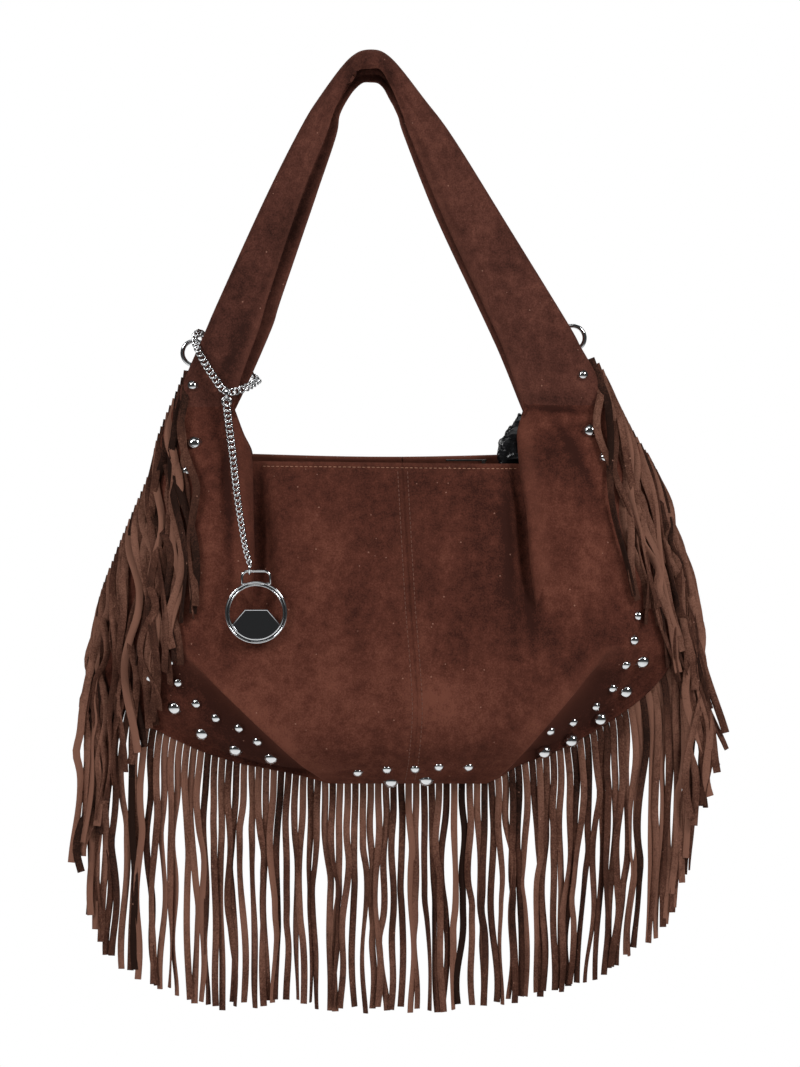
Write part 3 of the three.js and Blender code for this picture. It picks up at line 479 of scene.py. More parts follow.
def half_strip(side, facing):
    """A side strip: its head lies under the handle's foot, its inner edge rolls in."""
    t = np.linspace(0, 1, strip_columns)[None, :]
    z = np.linspace(strap_end_z + strip_head, strip_end_z, strip_rows)[:, None] + t * 0
    below = strap_end_z - z
    above = np.maximum(0, -below)
    rolled = roll_radius * smooth(below / roll_full)
    line_z = np.minimum(z, strap_end_z)
    seam = seams[side](line_z) - side * above * foot_lean[side][0]
    edge = strip_edges[side](line_z) + side * rolled - side * above * foot_lean[side][1]
    x = mix(seam, edge, t)
    face_z = np.minimum(z, mouth_z)
    under = smooth((below - belly_from) / (strap_end_z - belly_from - mouth_z))
    ground = (front_depth(x, face_z) - seam_lay) * under * mix(1, 0.92, t) * smooth(t * 3)
    low = seam_lay + ground + strip_rise(z) * np.sin(np.pi * np.minimum(1, t * 0.9))**0.6
    reach = np.clip(np.abs(x - seam) / foot_half, 0, 1)
    top = foot_half * np.sqrt(1 - (1 - reach)**2) * (1 - 0.12 * smooth((t - 0.86) / 0.14))
    fade = smooth(below / dents_from) * smooth((z - strip_end_z) / dents_end)
    middle = np.sin(np.pi * t)
    y = mix(top, low, smooth(below / foot_shape_to))
    y = y + crumple(x, x * 0 + 3 * facing, z, strip_swells, strip_crumple) * middle * fade
    if facing < 0:
        y = y + MM * soft_spots(x, z, strip_dents) * fade * middle
    y = y - strip_sink * smooth(above / strip_head)
    to_panel = smooth(1 - (z - strip_end_z) / strip_fade)
    y = mix(y, panel_face(x, face_z, facing) - strip_sink, to_panel)
    wear = strip_wear * np.exp(-((t - strip_wear_at) / strip_wear_wide)**2) * fade
    turn = np.linspace(0, 1, roll_columns + 1)[1:][None, :] * roll_turn
    radius = rolled[:, :1] * (1 - to_panel[:, :1]) + roll_least
    x = np.concatenate([x, x[:, -1:] - side * radius * np.sin(turn)], 1)
    y = np.concatenate([y, y[:, -1:] - radius * (1 - np.cos(turn))], 1)
    z = np.concatenate([z, z[:, -1:] + 0 * turn], 1)
    wear = np.concatenate([wear, wear[:, -1:] * np.cos(turn / 2)], 1)
    # The strip carries the same painted shade and light patches.
    return x, y, z, wear, nap_tone(x, z, facing)


def srgb(red, green, blue):
    """A colour given as it is seen, as a shader takes it."""
    shares = [c / 255 for c in (red, green, blue)]
    return (*[c / 12.92 if c <= 0.04045 else ((c + 0.055) / 1.055)**2.4 for c in shares], 1.0)


lint_colour, sheen_colour = srgb(170, 124, 106), srgb(190, 118, 92)


def suede_material(name, shadow, middle, light, nap=1.0, strands=False):
    """Brushed suede: cloudy pile, fine grain, a few pale specks of lint, worn paler edges, and painted shade
    and light read from an attribute.
    """
    made = Material(name)

    def painted(label):
        return made("ShaderNodeAttribute", attribute_name=label, output="Fac")

    brushed = made.clouds(46, 4, 0.6, Vector=made("ShaderNodeMapping", Vector=made.place, Scale=(1, 1, 0.45)))
    grain = made.clouds(900, 2, 0.7)
    tone = (made.clouds(11, 3, 0.55) - 0.5) * 0.5 * nap + (brushed - 0.5) * 0.6 * nap
    # The painted attribute adds painted shade and light to the tone.
    tone = tone + (grain - 0.5) * 0.8 + 0.5 + painted("nap")
    tone = tone + (made.clouds(150, 4, 0.65) - 0.5) * (0.35 if strands else 0.75)
    if strands:
        tone = tone + (painted("shade") - 0.5) * 0.95
    colour = made.ramp(tone, (0.16, shadow), (0.5, middle), (0.86, light))
    paler_share = (painted("wear") * (0.45 + brushed * 0.9)).clamped() * 0.55
    colour = made.blend(paler_share, colour, light)
    specks = made("ShaderNodeTexVoronoi", Vector=made.place, Scale=120.0, Randomness=1.0)
    sparse = made.clouds(23, 1, 0.55).math("GREATER_THAN", 0.49)
    colour = made.blend(specks.math("LESS_THAN", 0.065) * sparse * 0.6, colour, lint_colour)
    height = grain * 0.5 + made.clouds(260, 3, 0.65) * 0.8 + brushed * 0.5
    return made.skin(colour, 0.92, made.bump(height, 0.55, 0.0006), Sheen_Weight=0.12, Sheen_Roughness=0.4,
                     Sheen_Tint=sheen_colour, Specular_IOR_Level=0.12)


def joined(name, *objects):
    """One object from several, with their modifiers applied."""
    graph = bpy.context.evaluated_depsgraph_get()
    graph.update()
    meshes = [bpy.data.meshes.new_from_object(obj.evaluated_get(graph)) for obj in objects]
    for obj in objects:
        bpy.data.objects.remove(obj)
    parts = [placed(f"{name}_{i}", mesh) for i, mesh in enumerate(meshes)]
    whole = parts[0]
    with bpy.context.temp_override(active_object=whole, object=whole, selected_editable_objects=parts,
                                   selected_objects=parts):
        bpy.ops.object.join()
    whole.name = whole.data.name = name
    return whole


def sheet(name, points, material, thick=suede_thick, **attributes):
    """A sheet from a grid of points, given its thickness on the inner side."""
    rows, columns = points.shape[:2]
    index = np.arange(rows * columns).reshape(rows, columns)
    faces = np.stack([index[:-1, :-1], index[1:, :-1], index[1:, 1:], index[:-1, 1:]], -1).reshape(-1, 4)
    attributes = {label: values.ravel() for label, values in attributes.items()}
    obj = mesh_object(name, points.reshape(-1, 3).tolist(), [], faces.tolist(), material, **attributes)
    obj.data.shade_smooth()
    solid = obj.modifiers.new("thickness", "SOLIDIFY")
    solid.thickness = thick
    solid.offset = -1
    return joined(name, obj)


def fit(piece, body, slot, *cad_nodes):
    """Parents a piece to the empty of the body it moves with and hides the CAD parts it stands for; what it
    is made of, slot, is not used.
    """
    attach(piece, body)
    if cad_nodes:
        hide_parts(*cad_nodes)
    return piece


panel_suede = suede_material("panel_suede", srgb(55, 27, 20), srgb(88, 47, 36), srgb(116, 68, 54))
suede_pieces = []
for side, hand in ((-1, "left"), (1, "right")):
    for facing, place in ((-1, "front"), (1, "back")):
        sheets = []
        for kind, make in (("panel", half_panel), ("strip", half_strip)):
            x, y, z, wear, nap = make(side, facing)
            points, wear = np.stack([x, facing * y, z], -1), np.clip(wear, 0, 1)
            if side * facing < 0:
                points, wear, nap = points[:, ::-1], wear[:, ::-1], nap[:, ::-1]
            # Each sheet carries its wear and its painted shade and light.
            sheets.append(sheet(f"{place}_{hand}_{kind}", points, panel_suede, wear=wear, nap=nap))
        panel = joined(f"{place}_suede_{hand}", *sheets)
        suede_pieces.append(fit(panel, "bag", "suede", f"{place}_panel_{hand}"))


# Handle: one suede band folded lengthwise, its fold on the outside of the loop and both free edges inside.
# Its feet are sewn over the side strips. At the crown the hollow under the fold shows.
# Each station: the fold's place, the front layer's edge, the back layer's edge and half the depth.
HANDLE_STATIONS = [
    (-141, -231, -97.5, -231, -97, -231, 10.5), (-131, -207, -91, -206, -85, -206, 10),
    (-117, -175, -79, -173, -70, -171.5, 8.5), (-107, -152, -73, -152, -63.7, -152, 7.5),
    (-75, -82, -49.7, -82, -40.6, -84, 7), (-51, -34.3, -31.5, -36.4, -25.2, -38.5, 8),
    (-37, -11.2, -24.5, -16.8, -21.7, -21, 10), (-16, 16, -11.9, 5, -10.2, -2.6, 12),
    (-0.7, 22.4, -0.7, 8.4, -0.7, 0, 12.5), (14, 16, 8.4, 5, 7.5, -3.6, 12),
    (37.1, -12.6, 20.3, -20.5, 17.5, -22.4, 9.5), (57.4, -39.9, 25.9, -36.9, 22.4, -37.8, 8),
    (96.6, -102.9, 49, -93.1, 44.8, -94.5, 7), (137.2, -168.7, 80.5, -161.7, 77, -163.1, 8.5),
    (148.4, -189, 92.5, -189, 89.6, -190.4, 9.5), (174, -231, 106.5, -231, 106, -231, 10.5),
]
handle_lines = [along(list(enumerate(column))) for column in zip(*HANDLE_STATIONS)]
handle_last = len(HANDLE_STATIONS) - 1
handle_rows, leg_columns, fold_columns = 300, 16, 18
foot_sink, foot_ends = 1.6 * MM, 0.16
soft_swells, soft_high, long_fold_high = 26, 2.0 * MM, 1.6 * MM
tuck_deep, crease_deep = 2.6 * MM, 1.0 * MM
# Shares of the way from the fold to the free edge.
tuck_from, crease_at, crease_wide = 0.72, 0.62, 0.07
# Pinches in the front layer: station, width in stations, depth in millimetres.
crown_pinches = [(9.35, 0.17, 3.0), (7.45, 0.2, 1.6), (6.7, 0.16, 1.2), (9.9, 0.14, 1.4)]
# Patches painted darker or paler on the handle: painted shade in the hollow under the crown and along creases
# and feet, among a few patches of the suede's own brushing.
handle_nap = [
    (372, 66, 30, 7, 0, -0.1), (389, 74, 5, 16, 0.4, -0.4), (352, 80, 5, 20, -0.4, -0.3),
    (300, 215, 7, 110, -0.42, -0.35), (262, 250, 14, 60, -0.42, -0.12), (440, 170, 18, 60, 0.5, 0.14),
    (520, 300, 26, 50, 0.5, 0.08), (236, 350, 8, 40, -0.3, -0.3), (545, 398, 40, 6, 0, -0.2),
    (330, 120, 8, 40, -0.45, 0.12),
]
handle_suede = suede_material("handle_suede", srgb(52, 28, 22), srgb(84, 48, 39), srgb(112, 68, 56))


def handle_section(t):
    """One section of the folded band at station t: its points, each with how rubbed it is."""
    values = [float(line(t * MM)) for line in handle_lines]
    fold, front, back, half = np.array(values[0:2]), np.array(values[2:4]), np.array(values[4:6]), values[6]
    foot = min(t, handle_last - t)
    arm = smooth(foot / 2.0)
    sink = foot_sink * smooth(1 - foot / foot_ends)

    def leg(edge, side, reach, lift=1.0):
        share = reach / np.linalg.norm(edge - fold)
        x, z = fold + (edge - fold) * min(share, 1.0)
        y = side * half * lift
        soft = noise.fractal(Vector((x, y, z)) * soft_swells, 0.9, 2.1, 3) * soft_high
        soft *= arm * smooth(share * 2)
        tuck = tuck_deep * smooth((share - tuck_from) / (1 - tuck_from)) * (0.4 + 0.6 * arm)
        crease = crease_deep * math.exp(-((share - crease_at) / crease_wide)**2) * arm
        if side < 0:
            for station, wide, deep in crown_pinches:
                crease += deep * MM * math.exp(-((t - station) / wide)**2) * smooth(share * 1.6)
        long_fold = noise.noise(Vector((t * 0.9, share * 2.6, side * 3.0))) * long_fold_high * arm * share
        return x, y - side * (tuck + crease + soft + long_fold + sink), z

    def layer(edge, side):
        length = np.linalg.norm(edge - fold)
        return [(leg(edge, side, mix(length, half, i / leg_columns)), math.exp(-i / 1.6) * 0.8)
                for i in range(leg_columns)]

    bend = []
    for i in range(fold_columns + 1):
        turn = math.pi * i / fold_columns
        edge, side = (front, -1) if i * 2 < fold_columns else (back, 1)
        point = leg(edge, side, half * (1 - math.sin(turn)), abs(math.cos(turn)))
        bend.append((point, 0.35 * math.exp(-((turn - math.pi / 2) / 0.5)**2)))
    return layer(front, -1) + bend + layer(back, 1)[::-1]


handle_grid = [handle_section(i / (handle_rows - 1) * handle_last) for i in range(handle_rows)]
points, wear = (np.array([[pair[part] for pair in row] for row in handle_grid]) for part in (0, 1))
# The handle's painted shade and light patches.
nap = soft_spots(points[..., 0], points[..., 2], handle_nap)
handle = sheet("handle_band", points, handle_suede, wear=wear, nap=nap)
suede_pieces.append(fit(handle, "bag", "suede", "handle"))


# Stitches: a tan row along the mouth and a brown row on each side of the centre seam, front and back.
# Each stitch is a short waxed thread bedded in the suede.
stitch_pitch, stitch_length, stitch_thick, stitch_proud = 3.3 * MM, 2.5 * MM, 0.62 * MM, 0.05 * MM
mouth_stitch_drop = 3.5 * MM
mouth_stitch_from, mouth_stitch_to = -75 * MM, 100 * MM
seam_stitch_side, seam_stitch_from, seam_stitch_to = 3.4 * MM, mouth_z - 8 * MM, hem_z + 4 * MM
eye_far = 0.3
suede_trees = [BVHTree.FromPolygons([v.co.copy() for v in piece.data.vertices],
                                    [tuple(f.vertices) for f in piece.data.polygons])
               for piece in suede_pieces]


def suede_face(x, z, facing):
    """Place and normal of the suede seen from in front (facing -1) or behind (1)."""
    eye, look = Vector((x, facing * eye_far, z)), Vector((0, -facing, 0))
    hits = [tree.ray_cast(eye, look)[:2] for tree in suede_trees]
    hits = [hit for hit in hits if hit[0] is not None]
    if not hits:
        return None
    place, normal = max(hits, key=lambda hit: hit[0].y * facing)
    return place, (normal if normal.y * facing > 0 else -normal)


def grown(name, lines, grow, material, sizes=None, closed=False, **attributes):
    """A mesh that the nodes laid by grow make on lines of points; each point may carry attributes.

    sizes are the tree's named inputs, which grow takes after the lines.
    """
    vertices, edges = [], []
    for line in lines:
        start = len(vertices)
        vertices += [tuple(p) for p in line]
        edges += [(start + i, start + i + 1) for i in range(len(line) - 1)]
        if closed:
            edges.append((start + len(line) - 1, start))
    base = mesh_object(name + "_lines", vertices, edges, **attributes)
    tree = bpy.data.node_groups.new(name, "GeometryNodeTree")
    for way in ("INPUT", "OUTPUT"):
        tree.interface.new_socket("Geometry", in_out=way, socket_type="NodeSocketGeometry")
    sizes = sizes or {}
    inputs = {tree.interface.new_socket(label, in_out="INPUT", socket_type="NodeSocketFloat").identifier: size
              for label, size in sizes.items()}
    nodes = Nodes(tree)
    line = nodes("NodeGroupInput")
    given = [Value(nodes, line.socket.node.outputs[label]) for label in sizes]
    whole = nodes("GeometryNodeRealizeInstances", grow(nodes, line, *given))
    whole = nodes("GeometryNodeSetShadeSmooth", whole)
    nodes("NodeGroupOutput", nodes("GeometryNodeSetMaterial", Geometry=whole, Material=material))
    modifier = base.modifiers.new("grow", "NODES")
    modifier.node_group = tree
    for identifier, size in inputs.items():
        modifier[identifier] = size
    return joined(name, base)


def copies_along(nodes, line, pitch, unit, roll=None):
    """Copies of a unit at an even pitch along a line, their X the way it runs."""
    curve = nodes("GeometryNodeMeshToCurve", Mesh=line)
    points = nodes("GeometryNodeResampleCurve", Curve=curve, Length=pitch, mode="LENGTH")
    turn = nodes("FunctionNodeAlignRotationToVector", Vector=nodes("GeometryNodeInputTangent"), axis="X")
    if roll:
        angles = nodes("FunctionNodeEulerToRotation", nodes("ShaderNodeCombineXYZ", X=roll))
        turn = nodes("FunctionNodeRotateRotation", Rotation=turn, Rotate_By=angles, rotation_space="LOCAL")
    return nodes("GeometryNodeInstanceOnPoints", Points=points, Instance=unit, Rotation=turn)


def thread_material(name, dark, light):
    made = Material(name)
    ply = made.clouds(1500, 2)
    return made.skin(made.ramp(ply, (0.3, dark), (0.7, light)), 0.6, made.bump(ply, 0.4, 0.0003))


def stitches(name, lines, thread, pitch=stitch_pitch):
    def sew(nodes, line, pitch, length, thick):
        bead = nodes("GeometryNodeMeshUVSphere", Segments=8, Rings=6, Radius=0.5)
        size = nodes("ShaderNodeCombineXYZ", length, thick, thick)
        return copies_along(nodes, line, pitch, nodes("GeometryNodeTransform", Geometry=bead, Scale=size))
    sizes = {"Pitch": pitch, "Length": stitch_length, "Thickness": stitch_thick}
    return grown(name, lines, sew, thread, sizes)


def row_on_suede(path, facing):
    hits = [suede_face(x, z, facing) for x, z in path]
    return [place + normal * stitch_proud for place, normal in filter(None, hits)]


tan_thread = thread_material("tan_thread", srgb(120, 78, 56), srgb(186, 136, 108))
brown_thread = thread_material("brown_thread", srgb(84, 48, 36), srgb(132, 84, 66))
mouth_line = [(x, float(mouth_edge(x, -1)) - mouth_stitch_drop)
              for x in np.linspace(mouth_stitch_from, mouth_stitch_to, 90)]
fit(stitches("mouth_stitches", [row_on_suede(mouth_line, -1)], tan_thread), "bag", "suede")
seam_lines = [row_on_suede([(float(centre_seam(z)) + side * seam_stitch_side, z)
                            for z in np.linspace(seam_stitch_from, seam_stitch_to, 120)], facing)
              for facing in (-1, 1) for side in (-1, 1)]
fit(stitches("seam_stitches", seam_lines, brown_thread), "bag", "suede")


# Fringe: suede strands 5 mm wide and 1.25 mm thick, cut in strips whose heading is sewn into the seam.
# The side strands lie two or three deep over the bag; the strands along the hem hang in one row.
strand_wide, strand_thick, strand_pitch, strand_edge = 5.1 * MM, 1.25 * MM, 5.3 * MM, 0.3 * MM
side_wide, hem_wide = 5.3 * MM, 4.7 * MM
strand_reach, hem_reach, corner_length = 168 * MM, 163 * MM, 17 * MM
strand_steps = 34
strand_tuck, root_proud, lying_proud = 2.2 * MM, 0.4 * MM, 0.8 * MM
layer_least, layer_step, hem_step, hem_back = 1.0 * MM, 1.55 * MM, 1.7 * MM, 0.8 * MM
side_splay, hem_splay, corner_splay, side_unruly = 3.5 * MM, 4 * MM, 5 * MM, 2.8
side_top_z = {-1: -199 * MM, 1: -191 * MM}
side_break_z = {-1: -389.9 * MM, 1: -361.9 * MM}
# How far the side strands drift to the right in millimetres, along their seam.
side_drift = {-1: ((0, 0.5, 1), (12, 5, -9)), 1: ((0, 0.65, 0.85, 1), (31, 30, 15, 2))}
side_stray, hem_stray, layer_stray = (-7, 6), (-2.5, 2.5), (0, 0.8)
hem_middle_x, corner_from, corner_full = 22 * MM, 60 * MM, 150 * MM
corner_drift = {False: -4.5 * MM, True: 12 * MM}
hem_fan, hem_bunch = 0.02, 2.0 * MM
# What differs from strand to strand: waves in millimetres, turns in radians, and its share of the length.
sways, kinks, curls, leans = (0.5, 2.0), (-1.6, 1.6), (0.4, 1.6), (-2.0, 2.0)
twists_drawn = [0, 0, 0.4, -0.4, 0.8, -0.8, 1.3, -1.3]
lengths = (0.965, 1.01)
tone_middle, tone_spread = 0.6, 0.21
strand_suede = suede_material("strand_suede", srgb(38, 22, 16), srgb(82, 51, 40), srgb(132, 92, 76),
                              nap=0.8, strands=True)
chance = random.Random(41)


def seam_place(side, z):
    """A place on the side seam and the way out of it, both in XZ."""
    step = 0.5 * MM
    slope = float(seams[side](z + step) - seams[side](z - step)) / (2 * step)
    way = np.array([side, -side * slope])
    return np.array([float(seams[side](z)), z]), way / np.linalg.norm(way)


def roots_between(side, top, bottom):
    """Root places and their ways out at the strands' pitch along a seam."""
    heights = np.linspace(top, bottom, 600)
    places = np.array([seam_place(side, z)[0] for z in heights])
    run = np.concatenate([[0], np.cumsum(np.linalg.norm(np.diff(places, axis=0), axis=1))])
    even = (np.arange(int(run[-1] / strand_pitch)) + 0.5) * strand_pitch
    return [seam_place(side, z) for z in np.interp(even, run, heights)]


def rest_depth(x, z, v):
    """Where a side strand lies on the bag: tight at its root, on the suede further down."""
    hit = suede_face(x, max(z, hem_z + 1 * MM), -1)
    return mix(root_proud, (-hit[0].y if hit else seam_lay) + lying_proud, float(smooth(v * 5)))


def strand(root, way, drift, layer, splay, unruly=1.0, reach=strand_reach, rests=False):
    """One hanging strand: out of the seam along way, over in a short bend and down with a little sway."""
    sway = chance.uniform(*sways) * MM * unruly
    waves = chance.uniform(1.0, 2.4)
    phase = chance.uniform(0, 2 * math.pi)
    kink = chance.uniform(*kinks) * MM * unruly
    kink_at = chance.uniform(0.25, 0.7)
    curl = chance.uniform(*curls) * MM * unruly
    curl_count = chance.uniform(2.5, 5.0)
    lean = chance.uniform(*leans) * MM
    twist_to = chance.choice(twists_drawn) * chance.uniform(0.5, 1.1)
    twist_wave = chance.uniform(-0.5, 0.5)
    length = reach * chance.uniform(*lengths)
    points, twists = [], []
    for v in np.arange(strand_steps + 1) / strand_steps:
        out = splay * (1 - math.exp(-v * 10))
        x = root[0] + way[0] * out + drift * v + lean * v * v
        x += sway * math.sin(waves * math.pi * v + phase) * smooth(v * 3)
        x += kink * math.exp(-((v - kink_at) / 0.06)**2)
        x += curl * math.sin(curl_count * math.pi * v + 2 * phase) * smooth(v * 4)
        z = root[1] + way[1] * out * 0.6 - length * (v - 0.012 * (1 - math.exp(-v * 14)))
        y = -rest_depth(x, z, v) if rests else 0.0
        y += 0.7 * MM * math.sin(waves * 4 * v + phase * 2) - layer * smooth(v * 7)
        points.append(Vector((x, y, z)))
        twists.append(smooth(v * 2.2) * (twist_to * v**0.5 + twist_wave * math.sin(3 * math.pi * v + phase)))
    faces = []
    for i, twist in enumerate(twists):
        run = (points[min(i + 1, strand_steps)] - points[max(i - 1, 0)]).normalized()
        flat = run.cross(Vector((0, 1, 0))).normalized()
        faces.append(tuple(flat * math.cos(twist) + run.cross(flat) * math.sin(twist)))
    return points, faces


def curtain(part, strands, wide):
    """One fringe: its strands swept from their lines, each with a tone of its own."""
    def cut(nodes, line, width, thickness, edge):
        way = nodes("GeometryNodeInputNamedAttribute", "face", data_type="FLOAT_VECTOR")
        curve = nodes("GeometryNodeMeshToCurve", Mesh=line)
        curve = nodes("GeometryNodeSetCurveNormal", Curve=curve, Normal=way, mode="FREE")
        flat = nodes("GeometryNodeCurvePrimitiveQuadrilateral", Width=width, Height=thickness)
        flat = nodes("GeometryNodeFilletCurve", Curve=flat, Radius=edge, Count=1, mode="POLY")
        return nodes("GeometryNodeCurveToMesh", Curve=curve, Profile_Curve=flat, Fill_Caps=True)
    shades = []
    for points, _ in strands:
        tone = chance.gauss(tone_middle, tone_spread)
        shades += [tone + 0.1 * math.sin(i * 0.35 + tone * 9) for i in range(len(points))]
    sizes = {"Width": wide, "Thickness": strand_thick, "Edge": strand_edge}
    fringe = grown(part + "_strands", [points for points, _ in strands], cut, strand_suede, sizes,
                   face=[face for _, faces in strands for face in faces], shade=shades)
    fit(fringe, "bag", "fringe_suede", part)


for side, hand in ((-1, "left"), (1, "right")):
    roots = roots_between(side, side_top_z[side], side_break_z[side])
    strands = []
    for i, (root, way) in enumerate(roots):
        drift = (np.interp(i / (len(roots) - 1), *side_drift[side]) + chance.uniform(*side_stray)) * MM
        layer = layer_least + layer_step * (2 - i % 3) + chance.uniform(*layer_stray) * MM
        strands.append(strand(root, way, drift, layer, side_splay, side_unruly, rests=True))
    curtain(f"fringe_{hand}", strands, side_wide)

left_run, right_run = (roots_between(side, side_break_z[side], hem_z + 0.3 * MM) for side in (-1, 1))
hem_left, hem_right = left_run[-1][0][0] + strand_pitch, right_run[-1][0][0] - strand_pitch
hem_count = round((hem_right - hem_left) / strand_pitch) + 1
hem_run = [(np.array([x, hem_z]), np.array([0.0, -1.0]))
           for x in np.linspace(hem_left, hem_right, hem_count)]
strands = []
for i, (root, way) in enumerate(left_run + hem_run + right_run[::-1]):
    drift = chance.uniform(*hem_stray) * MM + hem_fan * root[0]
    drift += hem_bunch * math.sin(i * 1.35 + 0.4 * math.sin(i * 0.5))
    corner = smooth((abs(root[0] - hem_middle_x) - corner_from) / (corner_full - corner_from))
    drift -= corner * corner_drift[root[0] > 0]
    strands.append(strand(root - way * strand_tuck, way, drift, (i % 2) * hem_step - hem_back,
                          hem_splay + corner_splay * corner, reach=hem_reach + corner * corner_length))
curtain("fringe_bottom", strands, hem_wide)


# Studs: polished domes with a small flat rim, pressed through the suede.
# Each takes its place from its seat on the bag and its tilt from the suede, turned a little to the front.
stud_kinds = (("small", 22, 7 * MM), ("large", 14, 10 * MM))
stud_sides = 40
stud_to_front = Vector((0, -0.7, 0))
stud_feel, stud_rise = 0.4, 0.6
# Half a stud's outline, for a stud of radius one.
stud_outline = [(0.0001, -0.06), (1.0, -0.06), (1.03, 0.0), (1.0, 0.07), (0.95, 0.1)]
stud_outline += [(0.95 * math.cos(a), 0.1 + 0.74 * math.sin(a))
                 for a in np.linspace(0.12, math.pi / 2 - 0.02, 12)]


def chrome_material(name, colour, rough, scratch):
    made = Material(name)
    haze = made.clouds(240, 4)
    tint = made.blend(haze * 0.25, (*colour, 1), (*[c * 0.82 for c in colour], 1))
    scratches = made.bump(made.clouds(1400, 2), 0.03, 0.0002)
    return made.skin(tint, (haze * haze * scratch + rough).clamped(), scratches, Metallic=1.0)


def ring_mesh(name, rows, material, ends=False):
    """A tube through rows of points that each close on themselves."""
    rows = np.asarray(rows)
    index = np.arange(rows.shape[0] * rows.shape[1]).reshape(rows.shape[:2])
    onward = np.roll(index, -1, axis=1)
    faces = np.stack([index[:-1], onward[:-1], onward[1:], index[1:]], -1).reshape(-1, 4).tolist()
    if ends:
        faces += [index[0][::-1].tolist(), index[-1].tolist()]
    return mesh_object(name, rows.reshape(-1, 3).tolist(), [], faces, material)


def arc(radius, start, end, count, centre=(0, 0)):
    return [(centre[0] + radius * math.cos(a), centre[1] + radius * math.sin(a))
            for a in np.linspace(start, end, count)]


def circle(radius, sides, centre=(0, 0)):
    return arc(radius, 0, 2 * math.pi, sides + 1, centre)[:-1]


def turned(outline, sides):
    """Rings about Z from (radius, height) pairs."""
    return [[(x, y, height) for x, y in circle(radius, sides)] for radius, height in outline]


def stud_seat(name, diameter):
    """Where a stud sits on the suede and the way that it stands."""
    low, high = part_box(name)
    x, z, reach = (low.x + high.x) / 2, (low.z + high.z) / 2, diameter * stud_feel
    hit = suede_face(x, z, -1) or (Vector((x, high.y, z)), Vector((0, -1, 0)))
    around = [suede_face(x + dx, z + dz, -1) for dx, dz in ((reach, 0), (-reach, 0), (0, reach), (0, -reach))]
    near = [*filter(None, around), hit]
    way = sum((normal for _, normal in near), Vector()).normalized()
    height = max((place - hit[0]).dot(way) for place, _ in near)
    return hit[0] + way * max(0.0, height) * stud_rise, tuple((way + stud_to_front).normalized())


chrome = chrome_material("polished_chrome", (0.72, 0.73, 0.74), 0.04, 0.12)
stud_unit = ring_mesh("stud_unit", turned(stud_outline, stud_sides), chrome)
stud_sizes = {f"{kind}_stud_{i}": diameter
              for kind, count, diameter in stud_kinds for i in range(1, count + 1)}
stud_places, stud_ways = zip(*[stud_seat(name, diameter) for name, diameter in stud_sizes.items()])


def press(nodes, points):
    way = nodes("GeometryNodeInputNamedAttribute", "way", data_type="FLOAT_VECTOR")
    return nodes("GeometryNodeInstanceOnPoints", Points=points,
                 Instance=nodes("GeometryNodeObjectInfo", stud_unit, output="Geometry"),
                 Rotation=nodes("FunctionNodeAlignRotationToVector", Vector=way, axis="Z"),
                 Scale=nodes("GeometryNodeInputNamedAttribute", "size", data_type="FLOAT"))


studs = grown("studs", [[place] for place in stud_places], press, chrome, way=stud_ways,
              size=[diameter / 2 for diameter in stud_sizes.values()])
bpy.data.objects.remove(stud_unit)
fit(studs, "bag", "polished_metal", *stud_sizes)


# Curb chain: chrome wire links 5.9 mm wide, each twisted and rolled against the last. A loop of it hangs
# round the handle's left foot; the tail hangs from the loop's joining link and carries the charm.
link_pitch, link_long, link_wide, link_wire = 3.75 * MM, 6.5 * MM, 5.9 * MM, 0.68 * MM
link_twist, link_roll_first, link_roll_each = 0.7, 1.1, 0.045
ring_wire, top_ring_radius, end_ring_radius = 0.9 * MM, 3.0 * MM, 3.8 * MM
joint_gap = 0.12 * MM
CHAIN_LOOP_ROUTE = [
    (-101, -17.4, -216), (-110, -15.5, -205.5), (-118, -13, -192.5), (-123.5, -7, -181),
    (-122.2, 0, -175.6), (-119, 7.6, -176), (-110, 12, -183), (-97, 12.2, -194), (-85, 12.6, -203.5),
    (-80, 5, -207), (-80.8, -5, -209), (-88, -14.5, -213.5),
]
TAIL_ROUTE = [
    (-101, -17.4, -223.5), (-100.9, -17.8, -226.2), (-98.6, -23, -243), (-96, -29.5, -262),
    (-93.3, -36.5, -285), (-90.2, -42.3, -305), (-86.8, -46.8, -324), (-84, -48.4, -334),
]
TAIL_TOP, TAIL_END = Vector((-101, -17.4, -222.8)) * MM, Vector((-84, -48.4, -337.8)) * MM


def curve_through(points, closed, count):
    """A smooth line through points given in millimetres."""
    places = np.array(points, float) * MM
    if closed:
        places = np.vstack([places[-1], places, places[:2]])
    else:
        places = np.vstack([2 * places[0] - places[1], places, 2 * places[-1] - places[-2]])
    spans = len(places) - 3
    line = []
    for s in np.linspace(0, spans, count, endpoint=not closed):
        i = min(int(s), spans - 1)
        t = s - i
        p0, p1, p2, p3 = places[i:i + 4]
        line.append(0.5 * (2 * p1 + (p2 - p0) * t + (2 * p0 - 5 * p1 + 4 * p2 - p3) * t**2
                           + (3 * p1 - p0 - 3 * p2 + p3) * t**3))
    return line


def curve_piece(name, lines, closed, material, **settings):
    """A mesh from a curve through lines of points."""
    data = bpy.data.curves.new(name, "CURVE")
    for setting, value in settings.items():
        setattr(data, setting, value)
    for line in lines:
        spline = data.splines.new("POLY")
        spline.points.add(len(line) - 1)
        for point, place in zip(spline.points, line):
            point.co = (*place, 1)
        spline.use_cyclic_u = closed
    data.materials.append(material)
    return joined(name, placed(name, data))


def wire_piece(name, line, radius, closed=True, material=chrome, sides=10):
    """A round wire swept along a line, its ends closed."""
    return curve_piece(name, [line], closed, material, dimensions="3D", bevel_depth=radius,
                       bevel_resolution=sides // 2 - 1, use_fill_caps=True)


def ring_line(centre, radius, axis, gap=0.0, count=64, start=0.0):
    """Points round a ring; gap is the small opening where its wire was closed."""
    half = gap / radius / 2
    ring = arc(radius, start + half, start + 2 * math.pi - half, count) if gap else circle(radius, count)
    return [centre + Vector((0, u, v) if axis == "x" else (u, 0, v)) for u, v in ring]


